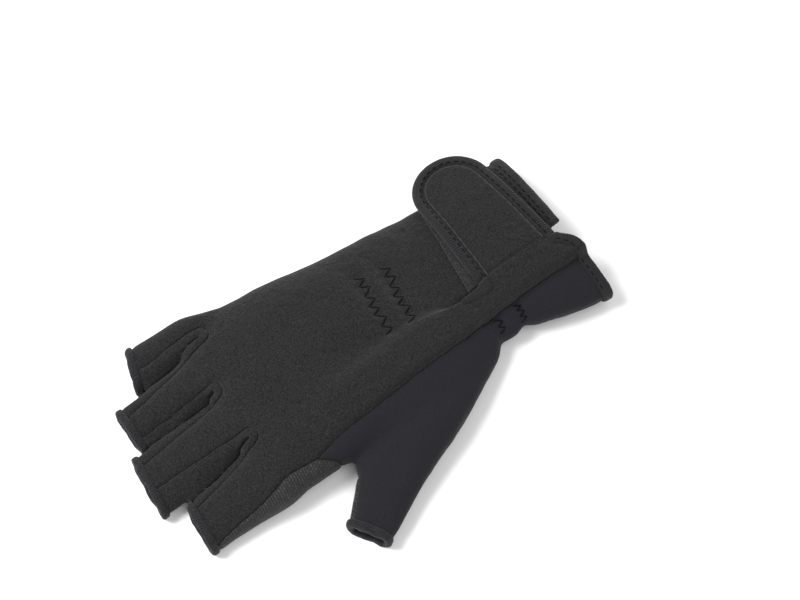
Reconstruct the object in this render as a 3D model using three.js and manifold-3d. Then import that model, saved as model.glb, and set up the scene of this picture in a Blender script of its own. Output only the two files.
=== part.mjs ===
// A half-finger fishing glove for the right hand, lying palm down as it would on a table.
// Millimetres, +Z up, +Y towards the fingertips, the thumb on the -X side.
// The origin lies on the palm's flat resting face, under the middle finger's knuckle line.
//
// The glove is a hollow form of soft cloth: one tube for the hand, one for each finger and one for the thumb,
// joined and then cut into the panels that a glove is sewn from, with a narrow seam gap between them.
import * as THREE from 'three';
import { mergeVertices } from 'three/addons/utils/BufferGeometryUtils.js';
import Module from 'manifold-3d';

const wasm = await Module();
wasm.setup();

// Driving sizes of the hand
const cuffReach = 109; // origin back to the cuff's edge
const palmReach = 50; // origin forward to the line of the finger crotches
const palmWidth = 92; // across the knuckles
const handHeight = 25; // outside, at the thickest part of the hand
const stallHeight = 18.5; // outside, of the finger stalls
const fingerRowShift = 3.1; // middle of the row of fingers, to the right of the origin
const fingerLength = 47.8; // of the middle finger's stall, from the line of the crotches
const fingerGap = 1.0; // free slot between two stalls at their crotch
const tipGap = 1.4; // the same slot at the fingertips

// Driving sizes of the thumb
const thumbRootAcross = -0.674; // where the thumb's axis starts, as a share of half the palm's width
const thumbRootAlong = -0.321; // and as a share of cuffReach
const thumbTurn = 31.7; // degrees that the thumb's axis leans away from the fingers
const thumbLength = 78; // along that axis, from its root to the open tip
const thumbWidth = 21; // across the open tip
const thumbHeight = 18; // outside

// Driving sizes of the cloth and its trim
const wall = 2.5; // thickness of the cloth
const seamGap = 0.3; // between two pieces that are sewn edge to edge
const rest = 0.3; // between two pieces that lie on each other
const tipBinding = 4; // width of the band round a fingertip
const cuffBinding = 5; // width of the band round the cuff
const bindingProud = 0.7; // how far a band stands out of the cloth
const cuffSlant = -4.5; // degrees that the cuff's edge runs back on the thumb's side

// Driving sizes of the strap and its fastener
const strapLength = 60; // root to rounded end
const strapFromCuff = 27.5; // the strap's middle line, forward of the cuff's edge
const strapRootWidth = 40.5;
const strapEndWidth = 36;
const strapTurn = 5.5; // degrees that the strap points towards the fingers
const strapBinding = 4.6; // width of the band round the strap
const loopThickness = 1.2;
const hookThickness = 1.0;
const hookFrom = 14; // along the strap from its root
const loopLength = 28; // along the hand
const loopInset = 6; // from the slit's inner end back to the patch
const loopSlant = -4.5; // degrees that the patch's front edge runs back on the little finger's side
const slitWidth = 5.5; // of the wrist's slit at the cuff's edge
const slitEndWidth = 0.9;
const slitReach = 58; // from the cuff's edge to the slit's inner end

// Shape of a tube's section: a rounded box, fuller as the power grows
const handPower = 2.6;
const stallPower = 2.5;
const floorSink = 0.6; // how much of a tube's underside is pressed flat by the floor

// The hand's tube. along: share of cuffReach (minus) or palmReach (plus); left, right: shares of half the
// palm's width; top: share of handHeight.
const handRows = [
  { along: -1.065, left: -0.755, right: 1.0, top: 0.76 },
  { along: -1.0, left: -0.75, right: 1.0, top: 0.76 },
  { along: -0.916, left: -0.725, right: 0.989, top: 0.78 },
  { along: -0.794, left: -0.674, right: 0.967, top: 0.8 },
  { along: -0.673, left: -0.62, right: 0.946, top: 0.76 },
  { along: -0.579, left: -0.609, right: 0.935, top: 0.74 },
  { along: -0.467, left: -0.674, right: 0.924, top: 0.8 },
  { along: -0.327, left: -0.761, right: 0.913, top: 0.88 },
  { along: -0.14, left: -0.837, right: 0.924, top: 0.96 },
  { along: 0.1, left: -0.88, right: 0.946, top: 1.0 },
  { along: 0.5, left: -0.91, right: 0.972, top: 0.98 },
  { along: 0.8, left: -0.93, right: 1.0, top: 0.92 },
  { along: 0.98, left: -0.94, right: 1.015, top: 0.83 },
  { along: 1.08, left: -0.93, right: 1.0, top: 0.76 },
  { along: 1.18, left: -0.9, right: 0.97, top: 0.62 },
];

// The fingers, from the thumb's side. width, tipWidth: shares of palmWidth, across the stall at its crotch and at
// its open end; length: share of fingerLength; lean: share of palmWidth that the open end stands to the thumb's
// side; slant: degrees of that end; tipTop: its height as a share of stallHeight.
const fingers = [
  { name: 'index', width: 0.301, tipWidth: 0.238, length: 0.8, lean: -0.052, slant: -3.6, tipTop: 0.66 },
  { name: 'middle', width: 0.26, tipWidth: 0.315, length: 1.0, lean: -0.05, slant: -3.3, tipTop: 0.61 },
  { name: 'ring', width: 0.252, tipWidth: 0.213, length: 0.9, lean: -0.034, slant: 1.9, tipTop: 0.61 },
  { name: 'pinky', width: 0.163, tipWidth: 0.206, length: 0.617, lean: -0.008, slant: -14.3, tipTop: 0.63 },
];
for (const finger of fingers) {
  for (const key of ['width', 'tipWidth', 'lean']) finger[key] *= palmWidth;
  finger.length *= fingerLength;
}

// A stall's tube. along: share of its length from the crotch line; spread: share of the way from width to
// tipWidth; drawn: share of wall that the sides draw in, under the hand's cloth; top: share of stallHeight;
// flat: share of the way from that height to the flattened open end's.
const stallRows = [
  { along: -0.55, spread: 0.0, drawn: 2.4, top: 0.86, flat: 0 },
  { along: -0.2, spread: 0.0, drawn: 0.8, top: 1.0, flat: 0 },
  { along: 0.05, spread: 0.02, drawn: 0.0, top: 1.02, flat: 0.04 },
  { along: 0.35, spread: 0.4, drawn: 0.0, top: 1.0, flat: 0.4 },
  { along: 0.7, spread: 0.8, drawn: 0.0, top: 1.0, flat: 0.82 },
  { along: 1.0, spread: 1.0, drawn: 0.0, top: 1.0, flat: 1 },
  { along: 1.25, spread: 1.1, drawn: 0.0, top: 1.0, flat: 1 },
];

// The gussets between the fingers. crotch: share of palmReach where the slot starts; left, right: shares of
// palmWidth that the gusset shows on the back on each side of the slot at the tips.
const gussets = [
  { name: 'index_middle', crotch: 1.05, left: 0.046, right: 0.121 },
  { name: 'middle_ring', crotch: 1.1, left: 0.057, right: 0.046 },
  { name: 'ring_pinky', crotch: 0.955, left: 0.054, right: 0.08 },
];
const gussetOnPalm = 0.046 * palmWidth; // the same on the palm's side

// The thumb's tube. along: share of thumbLength; left, right: shares of half the thumb's width; top: share of
// thumbHeight.
const thumbRows = [
  { along: -0.42, left: -0.8, right: 1.0, top: 0.5 },
  { along: -0.23, left: -1.13, right: 1.5, top: 0.74 },
  { along: 0.0, left: -1.2, right: 2.0, top: 0.93 },
  { along: 0.25, left: -1.15, right: 2.2, top: 1.02 },
  { along: 0.5, left: -0.95, right: 2.1, top: 0.94 },
  { along: 0.66, left: -0.88, right: 1.82, top: 0.84 },
  { along: 0.74, left: -0.87, right: 1.52, top: 0.78 },
  { along: 0.87, left: -0.85, right: 1.24, top: 0.71 },
  { along: 1.0, left: -0.82, right: 1.0, top: 0.65 },
  { along: 1.12, left: -0.8, right: 0.95, top: 0.63 },
];

// The seam between the back panel and the thumb panel, and the padded roll beside it. seam: share of half the
// palm's width; roll: width as a share of rollWidth; rise: share of the strap's full standing height.
const rollWidth = 13;
const rollRows = [
  { along: -1.065, seam: -0.32, roll: 1.0, rise: 1.0 },
  { along: -0.654, seam: -0.391, roll: 1.0, rise: 1.0 },
  { along: -0.514, seam: -0.435, roll: 0.93, rise: 0.88 },
  { along: -0.374, seam: -0.5, roll: 1.0, rise: 0.66 },
  { along: -0.187, seam: -0.565, roll: 1.08, rise: 0.5 },
  { along: 0.0, seam: -0.641, roll: 1.08, rise: 0.4 },
  { along: 0.44, seam: -0.717, roll: 1.0, rise: 0.26 },
  { along: 0.68, seam: -0.783, roll: 1.0, rise: 0.1 },
  { along: 1.18, seam: -0.87, roll: 1.0, rise: 0.0 },
];
const rollEdge = 4; // width of the roll's steep side at the seam
const rollFall = 8; // width of its soft side on the hand, drawn in to the slit's width at the wrist
const rollFallReach = 20; // length over which it draws in

// Broad folds of the back. x: share of half the palm's width, y: share of the reach, turn: degrees from +Y,
// long, wide: half sizes in shares of palmWidth, height: share of wall, minus for a dent.
const folds = [
  { x: 0.22, y: -0.178, turn: 92, long: 0.2, wide: 0.035, height: -0.5 },
  { x: 0.22, y: -0.28, turn: 85, long: 0.19, wide: 0.032, height: -0.5 },
  { x: 0.24, y: -0.228, turn: 88, long: 0.16, wide: 0.03, height: 0.35 },
  { x: 0.1, y: 0.55, turn: 8, long: 0.3, wide: 0.09, height: 0.3 },
  { x: 0.62, y: 0.2, turn: 4, long: 0.4, wide: 0.1, height: 0.28 },
  { x: -0.12, y: -0.08, turn: -12, long: 0.32, wide: 0.08, height: -0.5 },
];

// The seam between the thumb panel and the palm panel, on the palm. x: share of half the palm's width.
const palmSeamRows = [
  { along: -1.0, x: -0.5 },
  { along: -0.654, x: -0.5 },
  { along: -0.542, x: -0.435 },
  { along: -0.42, x: -0.217 },
  { along: -0.187, x: 0.13 },
  { along: 0.1, x: 0.196 },
  { along: 0.4, x: 0.087 },
  { along: 0.76, x: -0.217 },
];
const crotchSeamAt = 0.48; // share of palmReach where thumb panel and palm panel meet beside the index finger

// The palm's cloth stands up over the index finger's outer side, to this line on its top. x: share of palmHalf.
const indexSeamRows = [
  { along: 0.46, x: -0.74 },
  { along: 0.68, x: -0.783 },
  { along: 0.93, x: -0.78 },
  { along: 1.09, x: -0.826 },
  { along: 1.25, x: -0.862 },
  { along: 1.53, x: -0.905 },
  { along: 1.76, x: -0.955 },
  { along: 2.3, x: -1.02 },
];

const strapStand = loopThickness + hookThickness + 3 * rest; // strap's underside above the back
const rollRise = strapStand + wall; // brings the roll level with the strap's face
const palmHalf = palmWidth / 2;
const thumbRoot = new THREE.Vector2(thumbRootAcross * palmHalf, thumbRootAlong * cuffReach);
// Heights that only side walls reach: in the hand and the round stalls, and at the flattest open end
const inHollow = stallHeight / 2;
const inTip = (Math.min(...fingers.map((finger) => finger.tipTop)) * stallHeight) / 2;
// The seam between back and palm on the sides. y: share of fingerLength past the crotches, z: its height
const sideSeamRows = [{ y: -10, z: inHollow }, { y: 0, z: inHollow }, { y: 0.7, z: 0.93 * inTip },
  { y: 10, z: 0.93 * inTip }];

// Numbers along a table's rows, as a smooth curve through them
function track(rows, key, at) {
  let i = rows.findIndex((row) => row.along > at) - 1;
  if (i < 0) i = at < rows[0].along ? 0 : rows.length - 2;
  const [a, b] = [rows[i], rows[i + 1]];
  const before = rows[Math.max(i - 1, 0)];
  const after = rows[Math.min(i + 2, rows.length - 1)];
  const span = b.along - a.along;
  const t = THREE.MathUtils.clamp((at - a.along) / span, 0, 1);
  const slopeA = ((b[key] - before[key]) / (b.along - before.along)) * span;
  const slopeB = ((after[key] - a[key]) / (after.along - a.along)) * span;
  const [t2, t3] = [t * t, t * t * t];
  return a[key] * (2 * t3 - 3 * t2 + 1) + slopeA * (t3 - 2 * t2 + t)
    + b[key] * (3 * t2 - 2 * t3) + slopeB * (t3 - t2);
}

const alongOf = (y) => (y < 0 ? y / cuffReach : y / palmReach);
const yOf = (along) => (along < 0 ? along * cuffReach : along * palmReach);
const ramp = (t) => THREE.MathUtils.smoothstep(t, 0, 1);
const turned = (x, y, degrees) => new THREE.Vector2(x, y).rotateAround(
  new THREE.Vector2(), THREE.MathUtils.degToRad(degrees));

// Outline of the hand at a height along it
function handAt(y) {
  const along = alongOf(y);
  const left = track(handRows, 'left', along) * palmHalf;
  const right = track(handRows, 'right', along) * palmHalf;
  const top = track(handRows, 'top', along) * handHeight;
  return { mid: (left + right) / 2, half: (right - left) / 2, top };
}

// Height of a rounded section above its middle, at a share of its half width
const bulge = (share, half, power) => half * Math.max(1 - Math.abs(share) ** power, 0) ** (1 / power);

function topOfHand(x, y) {
  const { mid, half, top } = handAt(y);
  const middle = (top - floorSink) / 2;
  return middle + bulge((x - mid) / half, middle + floorSink, handPower);
}

// The slit beside the roll at the wrist
const slitEnd = slitReach - cuffReach;
const slitWidthAt = (y) => THREE.MathUtils.mapLinear(Math.min(y, slitEnd), -cuffReach, slitEnd,
  slitWidth, slitEndWidth);

// How far the roll and the folds lift the cloth of the back
function liftAt(x, y) {
  const along = alongOf(y);
  const seam = track(rollRows, 'seam', along) * palmHalf;
  const end = seam + track(rollRows, 'roll', along) * rollWidth;
  const fall = slitWidthAt(y) + (rollFall - slitEndWidth) * ramp((y - slitEnd) / rollFallReach);
  const roll = ramp((x - seam + rollEdge / 2) / rollEdge) * ramp((end + fall - x) / fall);
  let lift = roll * track(rollRows, 'rise', along) * rollRise;
  for (const fold of folds) {
    const d = turned(x - fold.x * palmHalf, y - yOf(fold.y), -fold.turn);
    const far = Math.hypot(d.x / (fold.wide * palmWidth), d.y / (fold.long * palmWidth));
    lift += fold.height * wall * Math.exp(-far * far);
  }
  return lift;
}

// Cloth low on the sides keeps its place, and cloth on top takes the whole lift
const liftShare = (z, top) => ramp((z / top - 0.4) / 0.35);

// A closed solid through rings of points, each ring anticlockwise when seen from the end it faces
function loft(rings) {
  const size = rings[0].length;
  const points = rings.flat();
  const faces = [];
  for (let r = 0; r + 1 < rings.length; r++) {
    for (let i = 0; i < size; i++) {
      const [a, b] = [r * size + i, r * size + ((i + 1) % size)];
      faces.push([a, b, b + size], [a, b + size, a + size]);
    }
  }
  const last = (rings.length - 1) * size;
  for (let i = 1; i + 1 < size; i++) {
    faces.push([0, i + 1, i], [last, last + i, last + i + 1]);
  }
  return solidOf(points, faces);
}

function solidOf(points, faces) {
  const vertProperties = new Float32Array(points.flatMap((p) => [p.x, p.y, p.z]));
  const triVerts = new Uint32Array(faces.flat());
  const solid = new wasm.Manifold(new wasm.Mesh({ numProp: 3, vertProperties, triVerts }));
  return solid.volume() > 0 ? solid : solidOf(points, faces.map(([a, b, c]) => [a, c, b]));
}

// A three.js geometry as a solid
function fromGeometry(geometry) {
  geometry.deleteAttribute('normal');
  geometry.deleteAttribute('uv');
  const merged = mergeVertices(geometry);
  const vertProperties = merged.attributes.position.array;
  const triVerts = new Uint32Array(merged.index.array);
  return new wasm.Manifold(new wasm.Mesh({ numProp: 3, vertProperties, triVerts }));
}

const below = -40;
const above = 90;

// An upright prism on an outline of [x, y] points
function prism(outline, low = below, high = above) {
  const points = outline.map(([x, y]) => new THREE.Vector2(x, y));
  if (THREE.ShapeUtils.area(points) < 0) points.reverse();
  const shape = new THREE.Shape(points);
  const geometry = new THREE.ExtrudeGeometry(shape, { depth: high - low, bevelEnabled: false });
  return fromGeometry(geometry.translate(0, 0, low));
}

// The same outline moved out by a distance
function grown(outline, by) {
  const points = outline.map(([x, y]) => new THREE.Vector2(x, y));
  const side = THREE.ShapeUtils.area(points) < 0 ? -by : by;
  return points.map((point, i) => {
    const before = point.clone().sub(points[(i + points.length - 1) % points.length]).normalize();
    const after = points[(i + 1) % points.length].clone().sub(point).normalize();
    const out = new THREE.Vector2(before.y + after.y, -before.x - after.x).normalize();
    const reach = side / Math.max(out.dot(new THREE.Vector2(before.y, -before.x)), 0.5);
    return [point.x + out.x * reach, point.y + out.y * reach];
  });
}

// An outline of [along, up] points drawn along X, so that it holds the same heights across the whole glove
function acrossAll(outline) {
  const wide = 3 * (cuffReach + palmReach);
  const shape = new THREE.Shape(outline.map(([along, up]) => new THREE.Vector2(along, up)));
  const geometry = new THREE.ExtrudeGeometry(shape, { depth: 2 * wide, bevelEnabled: false });
  return fromGeometry(geometry.translate(0, 0, -wide).rotateX(Math.PI / 2).rotateZ(Math.PI / 2));
}

// Everything over or under the side seam, at a gap from it
function sideSeamZone(gap, upward) {
  const line = sideSeamRows.map(({ y, z }) => [palmReach + y * fingerLength, z + (upward ? gap : -gap)]);
  const end = upward ? above : below;
  const outline = [...line, [line.at(-1)[0], end], [line[0][0], end]];
  return acrossAll(upward ? outline : outline.reverse());
}

// The hand's tube, moved in or out by an offset
const topSteps = 7;
const underSteps = 9;
const outerSections = 22;
const innerSections = 16;
function handTube(offset) {
  const rings = [];
  const sections = offset < 0 ? innerSections : outerSections;
  for (let s = 0; s <= sections; s++) {
    const along = THREE.MathUtils.lerp(handRows[0].along, handRows.at(-1).along, s / sections);
    const y = yOf(along) + (s === sections ? offset : 0);
    const { mid, half, top } = handAt(yOf(along));
    const seam = track(rollRows, 'seam', along) * palmHalf;
    const end = seam + track(rollRows, 'roll', along) * rollWidth;
    const shareOf = (x) => THREE.MathUtils.clamp((x - mid) / half, -1, 1);
    const fallTo = end + slitWidthAt(y);
    const rollShares = [seam - rollEdge / 2, seam, seam + rollEdge / 2, end - rollWidth * 0.3, end,
      THREE.MathUtils.lerp(end, fallTo, 0.5), fallTo].map(shareOf);
    const shares = [-1, -1 + (rollShares[0] + 1) * 0.1, -1 + (rollShares[0] + 1) * 0.4, ...rollShares];
    for (let i = 1; i <= topSteps; i++) {
      const turn = (i / topSteps) * (Math.PI / 2);
      shares.push(THREE.MathUtils.lerp(rollShares.at(-1), 1, Math.sin(turn)));
    }
    const middle = (top - floorSink) / 2;
    const over = shares.map((share) => {
      const z = middle + bulge(share, middle + floorSink + offset, handPower);
      const lift = liftAt(mid + half * share, yOf(along)) * liftShare(z, top);
      return new THREE.Vector3(mid + (half + offset) * share, y, z + lift);
    });
    const under = [];
    for (let i = 1; i < underSteps; i++) {
      const share = Math.cos((i / underSteps) * Math.PI);
      const z = middle - bulge(share, middle + floorSink + offset, handPower);
      under.push(new THREE.Vector3(mid + (half + offset) * share, y, z));
    }
    rings.push([...over, ...under]);
  }
  return loft(rings);
}

// A straight tube on its own axis: rows give along, left, right and top in millimetres
function straightTube(root, turn, rows, offset) {
  const stallSides = offset < 0 ? 14 : 18;
  const rings = rows.map((row) => {
    const ring = [];
    const mid = (row.left + row.right) / 2;
    const half = Math.max((row.right - row.left) / 2 + offset, 1);
    const middle = (row.top - floorSink) / 2;
    for (let i = 0; i < stallSides; i++) {
      const angle = (i / stallSides) * 2 * Math.PI;
      const [c, s] = [Math.cos(angle), Math.sin(angle)];
      const size = (Math.abs(c) ** stallPower + Math.abs(s) ** stallPower) ** (-1 / stallPower);
      const place = turned(mid - half * c * size, row.along, turn);
      ring.push(new THREE.Vector3(root.x + place.x, root.y + place.y,
        middle + (middle + floorSink + offset) * s * size));
    }
    return ring;
  });
  return loft(rings);
}

// Places of the fingers in a row across the knuckles
const rowWidth = fingers.reduce((sum, finger) => sum + finger.width, (fingers.length - 1) * fingerGap);
let edge = fingerRowShift - rowWidth / 2;
for (const finger of fingers) {
  finger.root = new THREE.Vector2(edge + finger.width / 2, palmReach);
  finger.turn = THREE.MathUtils.radToDeg(Math.atan2(-finger.lean, finger.length));
  finger.reach = Math.hypot(finger.lean, finger.length);
  finger.tip = new THREE.Vector2(finger.root.x + finger.lean, palmReach + finger.length);
  edge += finger.width + fingerGap;
}

function stallTube(finger, offset) {
  const rows = stallRows.map((row) => {
    const half = THREE.MathUtils.lerp(finger.width, finger.tipWidth, row.spread) / 2 - row.drawn * wall;
    const top = THREE.MathUtils.lerp(row.top, finger.tipTop, row.flat) * stallHeight;
    return { along: row.along * finger.reach, left: -half, right: half, top };
  });
  return straightTube(finger.root, finger.turn, rows, offset);
}

function thumbTube(offset) {
  const rows = thumbRows.map((row) => ({
    along: row.along * thumbLength, left: (row.left * thumbWidth) / 2, right: (row.right * thumbWidth) / 2,
    top: row.top * thumbHeight,
  }));
  return straightTube(thumbRoot, thumbTurn, rows, offset);
}

// The slot between two stalls: its middle line, from the crotch out past the tips
const pastTips = palmReach / 2;
function edgeOf(finger, side, y) {
  const share = (y - palmReach) / finger.length;
  const half = THREE.MathUtils.lerp(finger.width, finger.tipWidth, share) / 2;
  return finger.root.x + finger.lean * share + side * half;
}
gussets.forEach((gusset, i) => {
  const [a, b] = [fingers[i], fingers[i + 1]];
  const middleAt = (y) => (edgeOf(a, 1, y) + edgeOf(b, -1, y)) / 2;
  gusset.start = gusset.crotch * palmReach;
  gusset.tip = palmReach + Math.min(a.length, b.length);
  gusset.middleAt = (y) => THREE.MathUtils.lerp(middleAt(gusset.start), middleAt(gusset.tip),
    (y - gusset.start) / (gusset.tip - gusset.start));
});

// A strip along a slot, with its own half widths at the crotch and at the tips and a round inner end
function strip(gusset, crotchHalf, leftTip, rightTip) {
  const end = gusset.tip + pastTips;
  const past = (end - gusset.start) / (gusset.tip - gusset.start);
  const [left, right] = [leftTip, rightTip].map((half) => crotchHalf + (half - crotchHalf) * past);
  const x = gusset.middleAt(gusset.start);
  const points = [[gusset.middleAt(end) + right, end], [gusset.middleAt(end) - left, end]];
  const steps = 6;
  for (let i = 0; i <= steps; i++) {
    const angle = Math.PI + (i / steps) * Math.PI;
    points.push([x + crotchHalf * Math.cos(angle), gusset.start + crotchHalf * Math.sin(angle)]);
  }
  return points;
}
const slot = (gusset, offset) => {
  const tip = Math.max(tipGap / 2 - offset, seamGap / 2);
  return prism(strip(gusset, Math.max(fingerGap / 2 - offset, seamGap), tip, tip));
};

// The whole outer or inner form: tubes joined, slots left free, pressed flat where it lies on the floor
function gloveForm(offset, floor) {
  const stalls = fingers.map((finger) => stallTube(finger, offset));
  let form = wasm.Manifold.union([handTube(offset), thumbTube(offset), ...stalls]);
  for (const gusset of gussets) form = form.subtract(slot(gusset, offset));
  const wide = 3 * (cuffReach + palmReach);
  const box = new THREE.BoxGeometry(wide, wide, above).translate(0, 0, floor + above / 2);
  return form.intersect(fromGeometry(box));
}

// A band across a stall's open end, from one distance inside the end to another
const farOut = palmWidth * 0.65;
function tipBand(place, turn, left, right, from, to) {
  const corner = (x, y) => turned(x, y, turn).add(place).toArray();
  return [corner(left, -from), corner(right, -from), corner(right, -to), corner(left, -to)];
}
const ends = fingers.map((finger, i) => {
  const room = finger.tipWidth / 2 + farOut;
  const turn = finger.turn * 0.5 + finger.slant;
  const limits = [];
  if (i > 0) limits.push([gussets[i - 1], -1]);
  if (i < gussets.length) limits.push([gussets[i], 1]);
  return { name: finger.name, place: finger.tip, turn, left: -room, right: room, limits };
});
const thumbTip = turned(0, thumbLength, thumbTurn).add(thumbRoot);
const thumbSlant = 4;
ends.push({
  name: 'thumb', place: thumbTip, turn: thumbTurn + thumbSlant, left: -thumbWidth, right: thumbWidth, limits: [],
});

// The plan on one side of a slot's middle line, so that a fingertip's cut leaves its neighbours alone
function besideSlot(gusset, side) {
  const [start, end] = [gusset.start - farOut, gusset.tip + farOut];
  const far = side * 2 * farOut;
  return prism([[gusset.middleAt(start), start], [gusset.middleAt(end), end],
    [gusset.middleAt(end) + far, end], [gusset.middleAt(start) + far, start]]);
}
function endZone(end, from, to) {
  let zone = prism(tipBand(end.place, end.turn, end.left, end.right, from, to));
  for (const [gusset, side] of end.limits) zone = zone.intersect(besideSlot(gusset, -side));
  return zone;
}

// The cuff's edge: straight below, and above it curves up to the strap's lower edge on top of the roll.
// x: share of the roll's width back from the slit, y: share of the way up to the strap's edge.
const cuffCurve = [{ x: 0.85, y: 0 }, { x: 0.65, y: 0.05 }, { x: 0.45, y: 0.2 }, { x: 0.3, y: 0.42 },
  { x: 0.15, y: 0.75 }, { x: 0, y: 1 }, { x: -0.1, y: 1 }];
const cuffEdgeAt = (x) => -cuffReach - x * Math.tan(THREE.MathUtils.degToRad(cuffSlant));
function cuffZone(from, to) {
  const root = new THREE.Vector2(rollEndAt(-cuffReach), strapPlace(0, -strapRootWidth / 2).y);
  const curve = cuffCurve.map((row) => {
    const x = root.x - row.x * rollWidth;
    return [x, THREE.MathUtils.lerp(cuffEdgeAt(x), root.y, row.y)];
  });
  const onLine = (x) => [x, cuffEdgeAt(x)];
  const inSlit = root.x + slitWidth / 2;
  const moved = (line, by) => line.map(([x, y]) => [x, y + by]);
  const band = (line) => [...moved(line, from), ...moved(line, to).reverse()];
  return wasm.Manifold.union([
    prism(band([onLine(-farOut), ...curve]), inHollow),
    prism(band([onLine(inSlit), onLine(farOut)]), inHollow),
    prism(band([onLine(-farOut), onLine(farOut)]), below, inHollow),
  ]);
}

// The plan of the thumb panel above and below: everything on the thumb's side of its seams
const sideEdge = handAt(crotchSeamAt * palmReach);
const crotchSeam = [sideEdge.mid - sideEdge.half, crotchSeamAt * palmReach];
const aroundThumb = [
  [crotchSeam[0] * 1.12, crotchSeam[1] * 1.27], [crotchSeam[0] * 1.3, palmReach + farOut],
  [-3 * farOut, palmReach + farOut], [-3 * farOut, -cuffReach - farOut],
];
function seamPoints(rows, key, last, steps) {
  const first = rows[0].along;
  const line = Array.from({ length: steps + 1 }, (_, i) => THREE.MathUtils.lerp(first, last, i / steps))
    .map((along) => [track(rows, key, along) * palmHalf, yOf(along)]);
  return [[line[0][0], line[0][1] - farOut], ...line];
}
const thumbOver = [...seamPoints(rollRows, 'seam', 0.68, 14), crotchSeam, ...aroundThumb];
const thumbUnder = [
  ...seamPoints(palmSeamRows, 'x', 0.76, 14), [-0.65 * palmHalf, 0.72 * palmReach], crotchSeam, ...aroundThumb,
];
const thumbZone = (gap) => prism(grown(thumbOver, gap), inHollow)
  .add(prism(grown(thumbUnder, gap), below, inHollow));

// The grip cloth on the thumb's front: the low side of its stall, standing higher on the fingers' side.
// Its start line and its edges are shares of thumbLength, thumbWidth and thumbHeight.
const gripStart = [{ across: -1.2, along: 0.5 }, { across: 0.6, along: 0.72 }, { across: 0.95, along: 0.76 }];
const gripEdge = [{ across: -1.5, up: 0.2 }, { across: 0, up: 0.2 }, { across: 0.35, up: 0.5 },
  { across: 1.5, up: 0.5 }];
function thumbGripZone(gap) {
  const line = gripStart.map((row) => [row.across * thumbWidth, row.along * thumbLength - gap]);
  const far = line.map(([x]) => [x, 2 * thumbLength]).reverse();
  const placed = ([x, y]) => turned(x, y, thumbTurn).add(thumbRoot).toArray();
  const plan = prism([...line, ...far].map(placed));
  const edgeLine = gripEdge.map((row) => new THREE.Vector2(row.across * thumbWidth, row.up * thumbHeight + gap));
  const [first, last] = [edgeLine[0].x, edgeLine.at(-1).x];
  const shape = new THREE.Shape([
    new THREE.Vector2(first, below), new THREE.Vector2(last, below), ...edgeLine.reverse(),
  ]);
  const wedge = new THREE.ExtrudeGeometry(shape, { depth: 2 * thumbLength, bevelEnabled: false })
    .rotateX(Math.PI / 2).translate(0, 2 * thumbLength, 0)
    .rotateZ(THREE.MathUtils.degToRad(thumbTurn)).translate(thumbRoot.x, thumbRoot.y, 0);
  return plan.intersect(fromGeometry(wedge));
}

const gussetZone = (gusset, gap) => {
  const half = fingerGap / 2 + wall + seamGap + gap;
  const [left, right] = [gusset.left * palmWidth + gap, gusset.right * palmWidth + gap];
  return prism(strip(gusset, half, left, right), inTip)
    .add(prism(strip(gusset, half, gussetOnPalm + gap, gussetOnPalm + gap), below, inTip));
};

// The wrist's slit beside the roll, cut through the back only
function rollEndAt(y) {
  const along = alongOf(y);
  return track(rollRows, 'seam', along) * palmHalf + track(rollRows, 'roll', along) * rollWidth;
}
const slitSteps = 9;
const pastCuff = 0.35; // share of the slit's reach that its cut runs past the cuff
function slitOutline() {
  const left = Array.from({ length: slitSteps }, (_, i) => {
    const y = slitEnd - slitReach * (1 + pastCuff) * (1 - i / (slitSteps - 1));
    return [rollEndAt(y), y];
  });
  const right = left.map(([x, y]) => [x + slitWidthAt(y), y]).reverse();
  return [...left, ...right];
}

// The strap in its own frame: s from its root to its round end, q across
const strapMiddle = strapFromCuff - cuffReach;
const strapFrom = new THREE.Vector2(rollEndAt(strapMiddle) + seamGap, strapMiddle);
const strapPlace = (s, q) => turned(s, q, strapTurn).add(strapFrom);
function strapHalf(s) {
  const endHalf = strapEndWidth / 2;
  const taper = THREE.MathUtils.lerp(strapRootWidth / 2, endHalf, Math.min(s / (strapLength - endHalf), 1));
  const over = Math.max(s - (strapLength - endHalf), 0) / endHalf;
  return taper * Math.sqrt(Math.max(1 - over * over, 0));
}

// Height of the flat-lying cloth of the back, carried on down in a straight line past the hand's round edge
const flatShare = 0.7;
function overBack(x, y) {
  const { mid, half } = handAt(y);
  const limit = mid + flatShare * half;
  if (x <= limit) return topOfHand(x, y);
  const step = 0.02 * half;
  const slope = (topOfHand(limit, y) - topOfHand(limit - step, y)) / step;
  return topOfHand(limit, y) + slope * (x - limit);
}

// A sheet of even thickness on a grid of plan points, lying a height above the back
function sheetOver(grid, stand, thickness) {
  const [rows, columns] = [grid.length, grid[0].length];
  const layer = (up) => grid.flat().map(([x, y]) => new THREE.Vector3(x, y, overBack(x, y) + stand + up));
  const points = [...layer(0), ...layer(thickness)];
  const count = rows * columns;
  const faces = [];
  const at = (r, c) => r * columns + c;
  const quad = (a, b, c, d) => faces.push([a, b, c], [a, c, d]);
  for (let r = 0; r + 1 < rows; r++) {
    for (let c = 0; c + 1 < columns; c++) {
      quad(at(r, c), at(r, c + 1), at(r + 1, c + 1), at(r + 1, c));
      quad(count + at(r, c), count + at(r + 1, c), count + at(r + 1, c + 1), count + at(r, c + 1));
    }
  }
  const rim = [];
  const [lastRow, lastColumn] = [rows - 1, columns - 1];
  for (let c = 0; c < lastColumn; c++) rim.push([at(0, c), at(0, c + 1)], [at(lastRow, c + 1), at(lastRow, c)]);
  for (let r = 0; r < lastRow; r++) rim.push([at(r + 1, 0), at(r, 0)], [at(r, lastColumn), at(r + 1, lastColumn)]);
  for (const [a, b] of rim) quad(a, a + count, b + count, b);
  return solidOf(points, faces);
}

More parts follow.
